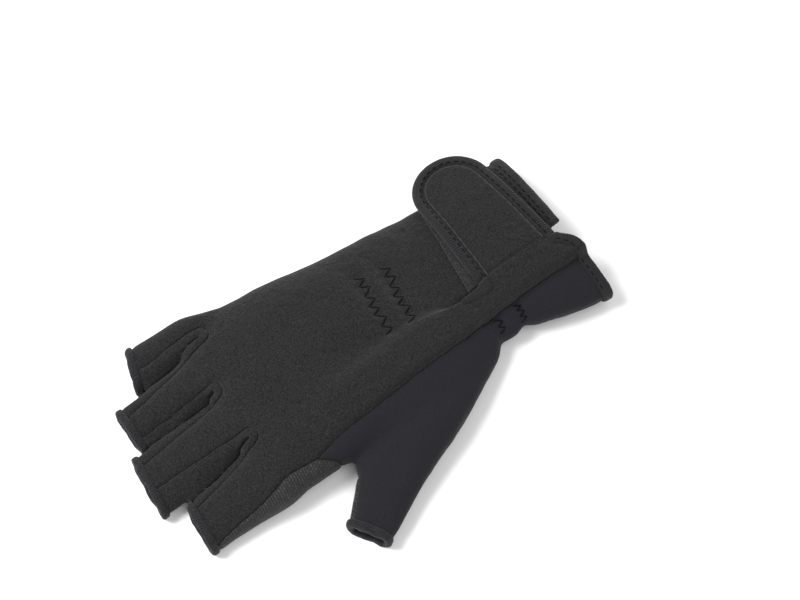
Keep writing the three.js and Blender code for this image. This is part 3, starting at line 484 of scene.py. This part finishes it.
band_from = strap_place(0, STRAP_ROOT / 2 - STRAP_BAND)[1]
band_ys = [(band_from + (SLIT_END - band_from) * a, w * STRAP_BAND) for a, w in SLIT_BAND]
slit_band_points = [(float(roll_end(y)) - w, y) for y, w in band_ys]
slit_band_points += [(float(roll_end(y)), y) for y, w in band_ys][::-1]
slit_band = np.maximum(plan(polygon(slit_band_points, PX, PY)), IN_HOLLOW - Z)

# Open ends: distance in from each one's cut
ends = []
shorter_first = [a["long"] < b["long"] for a, b in zip(stalls, stalls[1:])]
side_lean = [np.maximum(lean, 0) if first else np.minimum(lean, 0) for first in shorter_first]
for i, stall in enumerate(stalls):
    turn = stall["turn"] * 0.5 + stall["slant"]
    px, py = stall["x"] + stall["lean"], PALM + stall["long"]
    c, s = math.cos(math.radians(turn)), math.sin(math.radians(turn))
    inward = (X - px) * s - (Y - py) * c
    beside = np.maximum(np.abs(X - px) - stall["tip_wide"] / 2 - far, -1e3) + 0 * Y
    if i > 0:
        beside = np.maximum(beside, slot_middle(slots[i - 1], Y) - X + side_lean[i - 1])
    if i < len(slots):
        beside = np.maximum(beside, X - side_lean[i] - slot_middle(slots[i], Y))
    ends.append((stall["name"], inward, np.maximum(beside, -PALM * 0.4 - (Y - PALM))))
tx, ty = turned(0, THUMB_LONG, THUMB_TURN)
tx, ty = tx + THUMB_ROOT[0], ty + THUMB_ROOT[1]
c, s = math.cos(math.radians(THUMB_TURN + 4)), math.sin(math.radians(THUMB_TURN + 4))
ends.append(("thumb", (X - tx) * s - (Y - ty) * c, np.abs((X - tx) * c + (Y - ty) * s) - THUMB_WIDE))


def cuff_y(x):
    return -CUFF - x * math.tan(math.radians(CUFF_SLANT))


root_x, root_y = float(roll_end(-CUFF)), strap_place(0, -STRAP_ROOT / 2)[1]
bend_xs = [root_x - a * ROLL_WIDE for a, b in CUFF_CURVE]
bend = [(x, cuff_y(x) * (1 - b) + root_y * b) for x, (a, b) in zip(bend_xs, CUFF_CURVE)]
bx = np.array([p[0] for p in bend])
by = np.array([p[1] for p in bend])
cuff_over = [(-60.0, cuff_y(-60.0))] + bend
by_roll = X < root_x + SLIT_WIDE / 2
cuff_edge = np.where(by_roll & (X >= bx[0]), np.interp(X, bx, by), cuff_y(X))
line_far = polyline(cuff_over, PX, PY)[:, :, None]
cuff_in = np.where(by_roll, np.where(Y > cuff_edge, 1, -1) * line_far, Y - cuff_edge)
cuff_in = np.where(Z > IN_HOLLOW, cuff_in, Y - cuff_y(X)).astype(F)

opened = CUFF_BAND - TUCK - cuff_in
for name, inward, beside in ends:
    opened = np.maximum(opened, -np.maximum(inward - TIP_BAND + TUCK, beside)).astype(F)
sewn = opened.copy()
opened = np.maximum(opened, -slit).astype(F)
opened = np.maximum(opened, -(slit_band - SEAM)).astype(F)


def mesh_of(field, corner, step):
    """A field's zero surface as quads: one point in each cell that it crosses"""
    inside = field < 0
    shape = np.array(field.shape) - 1
    count = np.zeros(shape, np.int8)
    for a in (0, 1):
        for b in (0, 1):
            for c in (0, 1):
                count += inside[a:shape[0] + a, b:shape[1] + b, c:shape[2] + c]
    cells = np.argwhere((count > 0) & (count < 8))
    number = np.full(shape, -1, np.int32)
    number[cells[:, 0], cells[:, 1], cells[:, 2]] = np.arange(len(cells))
    total, hits = np.zeros((len(cells), 3)), np.zeros(len(cells))
    for axis in range(3):
        others = [o for o in range(3) if o != axis]
        for a in (0, 1):
            for b in (0, 1):
                lo = np.zeros(3, int)
                lo[others[0]], lo[others[1]] = a, b
                hi = lo.copy()
                hi[axis] = 1
                fa = field[tuple((cells + lo).T)].astype(float)
                fb = field[tuple((cells + hi).T)].astype(float)
                cross = (fa < 0) != (fb < 0)
                t = np.where(cross, fa / np.where(cross, fa - fb, 1), 0)
                place = np.tile(lo.astype(float), (len(cells), 1))
                place[:, axis] += t
                total += place * cross[:, None]
                hits += cross
    points = np.array(corner) + step * (cells + total / hits[:, None])
    quads = []
    for axis in range(3):
        n1, n2 = (axis + 1) % 3, (axis + 2) % 3
        near = [slice(None)] * 3
        away = [slice(None)] * 3
        near[axis], away[axis] = slice(0, -1), slice(1, None)
        change = inside[tuple(near)] != inside[tuple(away)]
        at = np.argwhere(change)
        at = at[(at[:, n1] > 0) & (at[:, n2] > 0) & (at[:, n1] < shape[n1]) & (at[:, n2] < shape[n2])]
        corners = []
        for d1, d2 in ((-1, -1), (0, -1), (0, 0), (-1, 0)):
            cell = at.copy()
            cell[:, n1] += d1
            cell[:, n2] += d2
            corners.append(number[tuple(cell.T)])
        quad = np.stack(corners, 1)
        out = inside[tuple(at.T)]
        quads.append(np.where(out[:, None], quad, quad[:, ::-1]))
    quads = np.concatenate(quads)
    return points, quads[(quads >= 0).all(1)]


def smoothed(points, quads, rounds=3, pull=0.5, push=-0.52):
    """Evens out a mesh without shrinking it: each round pulls the points together and pushes them back"""
    edges = np.concatenate([quads[:, [0, 1]], quads[:, [1, 2]], quads[:, [2, 3]], quads[:, [3, 0]]])
    count = np.bincount(edges[:, 0], minlength=len(points)).astype(float)
    for _ in range(rounds):
        for by_share in (pull, push):
            sums = [np.bincount(edges[:, 0], points[edges[:, 1], d], len(points)) for d in range(3)]
            points = points + by_share * (np.stack(sums, 1) / np.maximum(count, 1)[:, None] - points)
    return points


made = {}


def piece(name, points, quads, material, node=None):
    mesh = bpy.data.meshes.new(name)
    mesh.vertices.add(len(points))
    mesh.vertices.foreach_set("co", (np.asarray(points) * MM).astype(F).ravel())
    quads = np.asarray(quads, np.int32)
    sides = quads.shape[1]
    mesh.loops.add(quads.size)
    mesh.loops.foreach_set("vertex_index", quads.ravel())
    mesh.polygons.add(len(quads))
    mesh.polygons.foreach_set("loop_start", np.arange(0, quads.size, sides, dtype=np.int32))
    mesh.polygons.foreach_set("use_smooth", np.ones(len(quads), bool))
    mesh.update(calc_edges=True)
    mesh.validate()
    mesh.materials.append(material)
    thing = bpy.data.objects.new(name, mesh)
    bpy.context.scene.collection.objects.link(thing)
    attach(thing, "root")
    if node:
        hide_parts(node)
    made[name] = len(quads) * (sides - 2)
    return thing


def window(low, high):
    """Slices of the grid that hold a box, and the box's first corner"""
    part = []
    for a, b, line in zip(low, high, (gx, gy, gz)):
        first, last = int(np.searchsorted(line, a)) - 3, int(np.searchsorted(line, b)) + 3
        part.append(slice(max(first, 0), min(last, len(line))))
    return tuple(part), (gx[part[0].start], gy[part[1].start], gz[part[2].start])


def node_window(node, proud=2.0):
    low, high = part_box(node)
    return window([v / MM - proud for v in low], [v / MM + proud for v in high])


def cropped(value, part):
    value = np.broadcast_to(value, body.shape)
    return value[part]


def panel(node, zone, material, valley=0.6, round_off=0.9):
    """A panel of the shell: zone is minus inside, and the cloth dips where it is sewn"""
    part, corner = node_window(node)
    d, r, o, w = (cropped(v, part).astype(F) for v in (body, zone, opened, sewn))
    r = r + SEAM
    d = d + valley * np.exp(-(np.maximum(r, w) / 2.1) ** 2)
    field = np.maximum(smax(d, smax(r, o, 0.3), round_off), -(d + WALL))
    points, quads = mesh_of(field, corner, STEP)
    return piece(node + "_looks", smoothed(points, quads), quads, material, node)


def band(node, zone, material, rib=None):
    """A tape folded over the shell's edge: zone is minus inside, rib makes its face uneven"""
    part, corner = node_window(node)
    d, r = (cropped(v, part).astype(F) for v in (body, zone))
    outer = d - PROUD
    if rib is not None:
        outer = d - (PROUD + cropped(rib, part))
    field = smax(outer, -(d + WALL + GAP), 0.8)
    field = smax(field, r, 1.5)
    field = np.maximum(field, -cropped(Z, part))
    points, quads = mesh_of(field, corner, STEP)
    return piece(node + "_looks", smoothed(points, quads), quads, material, node)


# Materials
def material(name, color, rough, sheen=0.0, specular=0.3):
    made = bpy.data.materials.new(name)
    made.use_nodes = True
    tree = made.node_tree
    shader = tree.nodes["Principled BSDF"]
    shader.inputs["Base Color"].default_value = (*color, 1)
    shader.inputs["Roughness"].default_value = rough
    shader.inputs["Specular IOR Level"].default_value = specular
    shader.inputs["Sheen Weight"].default_value = sheen
    shader.inputs["Sheen Roughness"].default_value = 0.55
    return made, tree, shader


def node(tree, kind, **values):
    made = tree.nodes.new(kind)
    for key, value in values.items():
        if key in made.inputs:
            made.inputs[key].default_value = value
        else:
            setattr(made, key, value)
    return made


def noise(tree, place, scale, detail=3.0):
    made = node(tree, "ShaderNodeTexNoise")
    made.inputs["Scale"].default_value = scale
    made.inputs["Detail"].default_value = detail
    tree.links.new(place, made.inputs["Vector"])
    return made.outputs["Fac"]


def two_tone(tree, factor, dark, light, low=0.3, high=0.7):
    made = node(tree, "ShaderNodeValToRGB")
    made.color_ramp.elements[0].position, made.color_ramp.elements[1].position = low, high
    made.color_ramp.elements[0].color = (*dark, 1)
    made.color_ramp.elements[1].color = (*light, 1)
    tree.links.new(factor, made.inputs["Fac"])
    return made.outputs["Color"]


def bumped(tree, shader, heights):
    """Heights in mm as (socket, depth) pairs, one bump on the other"""
    last = None
    for height, depth in heights:
        bump = node(tree, "ShaderNodeBump")
        bump.inputs["Distance"].default_value = depth * MM
        bump.inputs["Strength"].default_value = 1.0
        tree.links.new(height, bump.inputs["Height"])
        if last:
            tree.links.new(last, bump.inputs["Normal"])
        last = bump.outputs["Normal"]
    tree.links.new(last, shader.inputs["Normal"])


def object_place(tree):
    return node(tree, "ShaderNodeTexCoord").outputs["Object"]


RIB_SCALE = 0.28  # ribs of about 1.1 mm


def round_place(tree):
    """Place in mm, laid round the glove's sides: across the top and down the side, and along it"""
    split = node(tree, "ShaderNodeSeparateXYZ")
    tree.links.new(object_place(tree), split.inputs[0])
    side = node(tree, "ShaderNodeMath", operation="SIGN")
    tree.links.new(split.outputs["X"], side.inputs[0])
    down = node(tree, "ShaderNodeMath", operation="MULTIPLY")
    tree.links.new(side.outputs[0], down.inputs[0])
    tree.links.new(split.outputs["Z"], down.inputs[1])
    across = node(tree, "ShaderNodeMath", operation="SUBTRACT")
    tree.links.new(split.outputs["X"], across.inputs[0])
    tree.links.new(down.outputs[0], across.inputs[1])
    joined = node(tree, "ShaderNodeCombineXYZ")
    tree.links.new(across.outputs[0], joined.inputs["X"])
    tree.links.new(split.outputs["Y"], joined.inputs["Y"])
    scaled = node(tree, "ShaderNodeVectorMath", operation="SCALE")
    scaled.inputs["Scale"].default_value = 1 / MM
    tree.links.new(joined.outputs[0], scaled.inputs[0])
    return scaled.outputs[0]


def cloth(name, dark, light, rough, sheen, grain, depth, rib=0.0):
    made, tree, shader = material(name, light, rough, sheen, 0.15)
    place = object_place(tree)
    fine = noise(tree, place, grain, 4.0)
    tree.links.new(two_tone(tree, fine, dark, light), shader.inputs["Base Color"])
    heights = [(noise(tree, place, grain / 5, 2.0), depth * 1.5), (fine, depth)]
    if rib:
        wave = node(tree, "ShaderNodeTexWave", wave_type="BANDS", bands_direction="X")
        for key, value in (("Scale", RIB_SCALE), ("Distortion", 1.2), ("Detail", 1.0)):
            wave.inputs[key].default_value = value
        tree.links.new(round_place(tree), wave.inputs["Vector"])
        heights.append((wave.outputs["Fac"], rib))
    bumped(tree, shader, heights)
    return made


fleece = cloth("fleece_black", (0.0015, 0.0015, 0.0016), (0.0195, 0.0195, 0.02), 0.95, 0.08, 1700, 0.4)
navy = cloth("knit_dark_blue", (0.0055, 0.0053, 0.0075), (0.0125, 0.0122, 0.0165), 0.9, 0.06, 3000, 0.12)
loops = cloth("loop_black", (0.003, 0.003, 0.003), (0.024, 0.024, 0.025), 1.0, 0.2, 1500, 0.6)
tape = cloth("tape_black", (0.005, 0.005, 0.0058), (0.0145, 0.0145, 0.016), 0.8, 0.08, 1800, 0.15, rib=0.25)
overlock = cloth("overlock_blue_black", (0.005, 0.005, 0.0065), (0.0165, 0.0163, 0.0195), 0.85, 0.08, 1300,
                 0.35, rib=0.22)
hooks = cloth("hook_black", (0.006, 0.006, 0.006), (0.013, 0.013, 0.013), 0.7, 0.0, 1500, 0.3)


def grip_cloth(name, dark, light, groove):
    """Small raised blocks laid like bricks, with a dark net between them"""
    made, tree, shader = material(name, light, 0.75, 0.05)
    brick = node(tree, "ShaderNodeTexBrick")
    for key, value in (("Scale", 1.0), ("Brick Width", 1.9), ("Row Height", 1.15), ("Mortar Size", 0.27),
                       ("Mortar Smooth", 0.8), ("Bias", 0.0)):
        brick.inputs[key].default_value = value
    for key, color in (("Color1", dark), ("Color2", light), ("Mortar", groove)):
        brick.inputs[key].default_value = (*color, 1)
    tree.links.new(round_place(tree), brick.inputs["Vector"])
    grain = noise(tree, object_place(tree), 1400, 3.0)
    tint = node(tree, "ShaderNodeMix", data_type="RGBA", blend_type="MULTIPLY")
    tint.inputs["Factor"].default_value = 1.0
    tree.links.new(brick.outputs["Color"], tint.inputs["A"])
    tree.links.new(two_tone(tree, grain, (0.55, 0.55, 0.55), (1, 1, 1)), tint.inputs["B"])
    tree.links.new(tint.outputs["Result"], shader.inputs["Base Color"])
    lowered = node(tree, "ShaderNodeMath", operation="SUBTRACT")
    lowered.inputs[0].default_value = 1.0
    tree.links.new(brick.outputs["Fac"], lowered.inputs[1])
    bumped(tree, shader, [(lowered.outputs[0], 0.35), (grain, 0.15)])
    return made


grip = grip_cloth("grip_brown_grey", (0.018, 0.0172, 0.0168), (0.038, 0.036, 0.035), (0.004, 0.0039, 0.0038))
thread_black, _, _ = material("thread_black", (0.003, 0.003, 0.003), 0.85, 0.0, 0.1)
thread_blue, _, _ = material("thread_dark_blue", (0.003, 0.003, 0.005), 0.85, 0.0, 0.1)
# Pale grey rods: the loop patch's selvage line, and a painted highlight on the inner lip of the groove round
# the strap tape
selvage_and_painted_highlight_grey, _, _ = material("selvage_and_painted_highlight_grey", (0.022, 0.022, 0.023), 0.7, 0.1, 0.3)

# The panels
gussets_all = gusset_zones[0]
for zone in gusset_zones[1:]:
    gussets_all = np.minimum(gussets_all, zone)
off_panels = np.maximum(-gussets_all, -thumb_zone)
panel("back_panel", np.maximum(upper, off_panels), fleece)
panel("palm_panel", np.maximum(-upper, off_panels), grip)
for slot, zone in zip(slots, gusset_zones):
    panel("gusset_" + slot["name"], zone, fleece)

across = thumb_q / THUMB_WIDE
start_s = np.interp(across, [a for a, b in GRIP_START], [b for a, b in GRIP_START]) * THUMB_LONG
edge_z = np.interp(across, [a for a, b in GRIP_EDGE], [b for a, b in GRIP_EDGE]) * THUMB_HIGH
grip_zone = np.maximum((start_s - thumb_s) * 0.9, (Z - edge_z) * 0.8).astype(F)
panel("thumb_panel", np.maximum(thumb_zone, -grip_zone), navy)
panel("thumb_grip", np.maximum(thumb_zone, grip_zone), grip)

# The bands round the open ends, overlocked and a little uneven
uneven = 0.3 * wobble(X, Y, Z, 4.5, 11) + 0.3 * wobble(X, Y, Z, 9, 12)
for name, inward, beside in ends:
    cut = np.maximum(np.maximum(inward - TIP_BAND, beside), 0.4 - inward + 0.9 * uneven)
    band("binding_" + name, cut.astype(F), overlock, 0.5 * uneven - 0.15)
cuff_zone = np.maximum(np.maximum(-cuff_in, cuff_in - CUFF_BAND), -slit).astype(F)
band("cuff_binding", cuff_zone, tape)

# The strap and its fastener
SX = np.arange(-16.0, 59.0, FINE)[:, None]
SY = np.arange(-112.0, -46.0, FINE)[None, :]
FLAT_SHARE = 0.7  # share of the half width past which the strap runs on straight


def over_back(x, y):
    """Height of the back's own form without its roll, run on straight towards the little finger's side"""
    mid, half, top = hand_at(y)
    limit = mid + FLAT_SHARE * half

    def top_of(x):
        middle = (top - SINK) / 2
        share = np.clip(np.abs(x - mid) / half, 0, 1)
        return middle + (middle + SINK) * np.maximum(1 - share**HAND_POWER, 1e-6) ** (1 / HAND_POWER)
    step = 0.02 * half
    slope = (top_of(limit) - top_of(limit - step)) / step
    return np.where(x <= limit, top_of(np.minimum(x, limit)), top_of(limit) + slope * (x - limit))


def strap_half(s):
    """The strap's half width, s along it from its root"""
    end = STRAP_END / 2
    taper = STRAP_ROOT / 2 + (end - STRAP_ROOT / 2) * np.clip(s / (STRAP_LONG - end), 0, 1)
    over = np.maximum(s - (STRAP_LONG - end), 0) / end
    return taper * np.sqrt(np.maximum(1 - over * over, 0))


def strap_outline(margin):
    end, straight = STRAP_END / 2 - margin, STRAP_LONG - STRAP_END / 2
    points = [strap_place(s, -strap_half(s) + margin) for s in np.linspace(0, straight, 12)]
    points += [strap_place(straight + end * math.cos(a), end * math.sin(a))
               for a in np.linspace(-math.pi / 2, math.pi / 2, 31)[1:-1]]
    points += [strap_place(s, strap_half(s) - margin) for s in np.linspace(straight, 0, 12)]
    return [(float(x), float(y)) for x, y in points]


ground = over_back(SX, SY)
outline = strap_outline(0)
root_ys = np.linspace(outline[-1][1], outline[0][1], 20)
lapped = [(outline[0][0] - 8, outline[0][1])] + outline + [(outline[-1][0] - 8, outline[-1][1])]
edge_far = polyline(lapped, SX, SY)


def strap_plan(lap):
    return polygon(outline + [(float(roll_end(y)) - lap, float(y)) for y in root_ys], SX, SY)


roll_top = top_z(SX + 0 * SY, SY + 0 * SX)
on_roll = np.clip((roll_end(SY) + 0.6 - SX) / ROOT_LAP, 0, 1)


def sheet(name, plan_sd, low, high, soft, material, zs, added=None, lap=None, dip=0.0, groove=0.0):
    """A sheet lying from low to high above the back, with rounded edges; zs is the range of its grid"""
    bottom, upper_face = ground + low, ground + high
    if lap is not None:
        near_roll = np.clip((roll_end(SY) + 2.0 - SX) / 2.0, 0, 1)
        on_top = roll_top + lap * (1 - on_roll) + (lap - dip) * on_roll
        upper_face = upper_face * (1 - near_roll) + np.minimum(upper_face, on_top) * near_roll
    upper_face = upper_face - groove * np.exp(-((edge_far - STRAP_BAND - 0.3) / 1.0) ** 2)
    z = np.arange(zs[0], zs[1], FINE)[None, None, :]
    run = np.gradient(ground, FINE)
    lean = np.sqrt(1 + np.clip(run[0] ** 2 + run[1] ** 2, 0, 9))
    mid_z, thick = (bottom + upper_face) / 2, (upper_face - bottom) / lean
    field = np.abs((z - mid_z[:, :, None]) / lean[:, :, None]) - (thick / 2)[:, :, None]
    field = smax(field, plan_sd[:, :, None], soft)
    if added is not None:
        field = smin(field, added(z), 1.2)
    points, quads = mesh_of(field.astype(F), (SX[0, 0], SY[0, 0], zs[0]), FINE)
    return piece(name + "_looks", smoothed(points, quads), quads, material, name)


strap_sd = smax(strap_plan(ROOT_LAP), STRAP_BAND - TUCK - edge_far, 0.3)
sheet("wrist_strap", strap_sd, STAND, STAND + WALL, 0.5, fleece,
      zs=(6, 32), lap=0.1, dip=0.4, groove=0.8)
slit_zone = polygon(slit_band_points, SX, SY)


def slit_tape(z):
    """The tape that runs on from the strap's upper edge along the slit"""
    d = sampled(body, SX[:, :, None], SY[:, :, None], z)
    skin = np.maximum(d - PROUD, -(d + WALL + GAP))
    return smax(np.maximum(skin, IN_HOLLOW - z), slit_zone[:, :, None] - 0.2, 1.2)


band_sd = smax(strap_plan(STRAP_BAND), edge_far - STRAP_BAND + SEAM, 0.3)
sheet("strap_binding", band_sd, STAND - PROUD / 2, STAND + WALL + PROUD / 2, 1.6, tape,
      zs=(4, 32), added=slit_tape, lap=PROUD)
loop_front, loop_right = SLIT_END - LOOP_INSET, 0.78 * HALF
loop_left = roll_end(SY) + slit_width(SY)
front_y = loop_front + (SX - loop_left) * math.tan(math.radians(LOOP_SLANT))
loop_x0 = float(roll_end(loop_front) + slit_width(loop_front))
loop_end_y = loop_front + (loop_right - loop_x0) * math.tan(math.radians(LOOP_SLANT))
loop_sides = np.maximum(loop_left - SX, SX - loop_right)
loop_sd = np.maximum(loop_sides, np.maximum(loop_front - LOOP_LONG - SY, SY - front_y))
sheet("loop_patch", loop_sd, REST, REST + LOOP_THICK, 0.5, loops, zs=(4, 30))
sx, sy = turned(SX - strap_place(0, 0)[0], SY - strap_place(0, 0)[1], -STRAP_TURN)
margin = 2 * STRAP_BAND
hook_end = STRAP_END / 2 - margin
inset = strap_half(np.minimum(sx, STRAP_LONG - STRAP_END / 2)) - margin
past = np.maximum(sx - (STRAP_LONG - STRAP_END / 2), 0)
hook_sides = np.maximum(np.abs(sy) - inset, HOOK_FROM - sx)
hook_sd = np.maximum(hook_sides, np.hypot(past, sy) - np.maximum(inset, hook_end))
sheet("hook_patch", hook_sd, STAND - HOOK_THICK - REST, STAND - REST, 0.4, hooks, zs=(4, 30))

# Threads: every stitch is a short rounded rod that dips into the cloth at both ends
SIDES, RINGS = 6, 5


def stitches(name, rows, radius, look, lift=0.0, sink=0.25, height=top_z):
    """rows: lists of stitches, each from one (x, y) needle hole to the next"""
    points, quads = [], []
    up = np.array([0, 0, 1.0])
    for row in rows:
        for (ax, ay), (bx, by) in row:
            t = np.linspace(0, 1, RINGS)
            x, y = ax + (bx - ax) * t, ay + (by - ay) * t
            z = height(x, y) + lift + radius * 0.6 - sink * np.abs(2 * t - 1) ** 3
            way = np.array([bx - ax, by - ay, 0.0]) / max(math.hypot(bx - ax, by - ay), 1e-6)
            side = np.array([-way[1], way[0], 0.0])
            first = len(points)
            for k in range(RINGS):
                r = radius * (0.45 if k in (0, RINGS - 1) else 1.0)
                for s in range(SIDES):
                    a = 2 * math.pi * s / SIDES
                    out = math.cos(a) * side + math.sin(a) * up
                    points.append(np.array([x[k], y[k], z[k]]) + r * out)
            for k in range(RINGS - 1):
                for s in range(SIDES):
                    a, b = first + k * SIDES + s, first + k * SIDES + (s + 1) % SIDES
                    quads.append((a, b, b + SIDES, a + SIDES))
            for k, turn in ((0, -1), (RINGS - 1, 1)):
                ring = [first + k * SIDES + s for s in range(SIDES)][::turn]
                quads += [(ring[0], ring[1], ring[2], ring[3]), (ring[0], ring[3], ring[4], ring[5])]
    return piece(name, np.array(points), quads, look)


def dashes(line, length=2.3, gap=1.0):
    """Stitches of one length along a line of points"""
    line = np.asarray(line, float)
    run = np.concatenate([[0], np.cumsum(np.hypot(*np.diff(line, axis=0).T))])
    starts = np.arange(0.5, run[-1] - length, length + gap)
    both = [s + more for s in starts for more in (0, length)]
    place = [(np.interp(v, run, line[:, 0]), np.interp(v, run, line[:, 1])) for v in both]
    return list(zip(place[::2], place[1::2]))


def zigzag(start, end, zigs, swing):
    """Stitches to and fro across a line, a little uneven"""
    (ax, ay), (bx, by) = start, end
    long = math.hypot(bx - ax, by - ay)
    nx, ny = -(by - ay) / long, (bx - ax) / long
    holes = []
    for i in range(2 * zigs + 1):
        a = i / (2 * zigs) + 0.012 * math.sin(5.1 * i)
        off = swing * (-1) ** i * (1 + 0.25 * math.sin(2.3 * i))
        holes.append((ax + (bx - ax) * a + nx * off, ay + (by - ay) * a + ny * off))
    return list(zip(holes, holes[1:]))


def strap_top(x, y):
    return over_back(x, y) + STAND + WALL


SEW, ZIGZAG_SEW, PAINTED_HIGHLIGHT = 0.22, 0.27, 0.28  # radii of the threads and of the pale grey rod that is a painted highlight on the strap groove's lip
ROW_INSET = 0.9  # from the tape's inner edge to its row of stitches
STRAP_ROW_INSET, PAINTED_HIGHLIGHT_OUT = 1.0, 1.1  # to each side of the strap tape's inner edge
FLAP_ROW = 1.9  # from the cuff tape's row to the flap's own
for name, look, slot in (("back", thread_black, "fleece_neoprene"), ("wrist", thread_blue, "stretch_cloth")):
    rows = [zigzag(start, end, zigs, swing) for start, end, zigs, swing, _ in ZIGZAGS[name]]
    stitches("stitches_" + name, rows, ZIGZAG_SEW, look)
strap_line = strap_outline(STRAP_BAND - STRAP_ROW_INSET)
stitches("stitches_strap", [dashes(strap_line)], SEW, thread_black, lift=PROUD / 2,
         height=strap_top)
# Painted highlight: a pale grey rod along the inner lip of the groove round the strap tape, where that lip
# catches the light
painted_highlight_line = strap_outline(STRAP_BAND + PAINTED_HIGHLIGHT_OUT)
stitches("painted_highlight_line_strap", [list(zip(painted_highlight_line, painted_highlight_line[1:]))], PAINTED_HIGHLIGHT, selvage_and_painted_highlight_grey, lift=-0.45,
         sink=0.0, height=strap_top)
front = []
for x in np.linspace(loop_x0, loop_right, 20):
    front.append((x, float(np.interp(x, [loop_x0, loop_right], [loop_front, loop_end_y]))))
stitches("selvage_loop", [list(zip(front, front[1:]))], SEW, selvage_and_painted_highlight_grey,
         lift=REST + LOOP_THICK - 0.1, sink=0.0, height=over_back)
cuff_line = [(x, cuff_y(x) + CUFF_BAND - ROW_INSET) for x in np.linspace(-32.5, bend[0][0] - 1, 20)]
cuff_line += [(x - 0.8, y + CUFF_BAND - 0.6) for x, y in bend[1:-2]]
flap_line = [(x, cuff_y(x) + CUFF_BAND - ROW_INSET) for x in np.linspace(root_x + SLIT_WIDE + 1.5, 43.5, 30)]
flap_row = [(x, y + FLAP_ROW) for x, y in flap_line]
stitches("stitches_cuff", [dashes(cuff_line), dashes(flap_line)], SEW, thread_black,
         lift=PROUD - 0.1)
stitches("stitches_flap", [dashes(flap_row)], 0.2, thread_black)

# Floor, light and camera
bpy.ops.mesh.primitive_plane_add(size=6, location=(0, 0, 0))
floor = bpy.context.object
floor.name = "floor"
floor_look, _, _ = material("floor_pale", (0.82, 0.82, 0.82), 0.9)
floor.data.materials.append(floor_look)

world = bpy.data.worlds.new("studio")
bpy.context.scene.world = world
world.use_nodes = True
world.node_tree.nodes["Background"].inputs["Color"].default_value = (1, 1, 1, 1)
world.node_tree.nodes["Background"].inputs["Strength"].default_value = 0.62

AIM = Vector((9.8, -33.1, 11.0)) * MM


def area_light(name, azimuth, elevation, size, watts, distance=1.2):
    a, e = math.radians(azimuth), math.radians(elevation)
    away = Vector((math.cos(a) * math.cos(e), math.sin(a) * math.cos(e), math.sin(e)))
    data = bpy.data.lights.new(name, "AREA")
    data.size, data.energy = size, watts
    light = bpy.data.objects.new(name, data)
    light.location = AIM + away * distance
    light.rotation_mode = "QUATERNION"
    light.rotation_quaternion = (-away).to_track_quat("-Z", "Y")
    bpy.context.scene.collection.objects.link(light)


area_light("key", 60, 55, 0.5, 18)
area_light("fill", 200, 60, 0.9, 6)

camera = bpy.data.cameras.new("camera")
camera.lens, camera.sensor_width = 85, 36
camera.clip_start, camera.clip_end = 0.05, 20
eye = bpy.data.objects.new("camera", camera)
CAMERA_FAR, CAMERA_TILT = 0.794, math.radians(64)  # metres from the aim, angle up from the floor
CAMERA_WAY = (-0.8526, 0.5228)  # from the aim to the camera, in plan
flat = math.cos(CAMERA_TILT)
eye.location = AIM + CAMERA_FAR * Vector((CAMERA_WAY[0] * flat, CAMERA_WAY[1] * flat, math.sin(CAMERA_TILT)))
eye.rotation_mode = "QUATERNION"
eye.rotation_quaternion = (AIM - eye.location).to_track_quat("-Z", "Y")
bpy.context.scene.collection.objects.link(eye)
bpy.context.scene.camera = eye
bpy.context.scene.view_settings.view_transform = "Standard"

print("triangles", sum(made.values()), made)
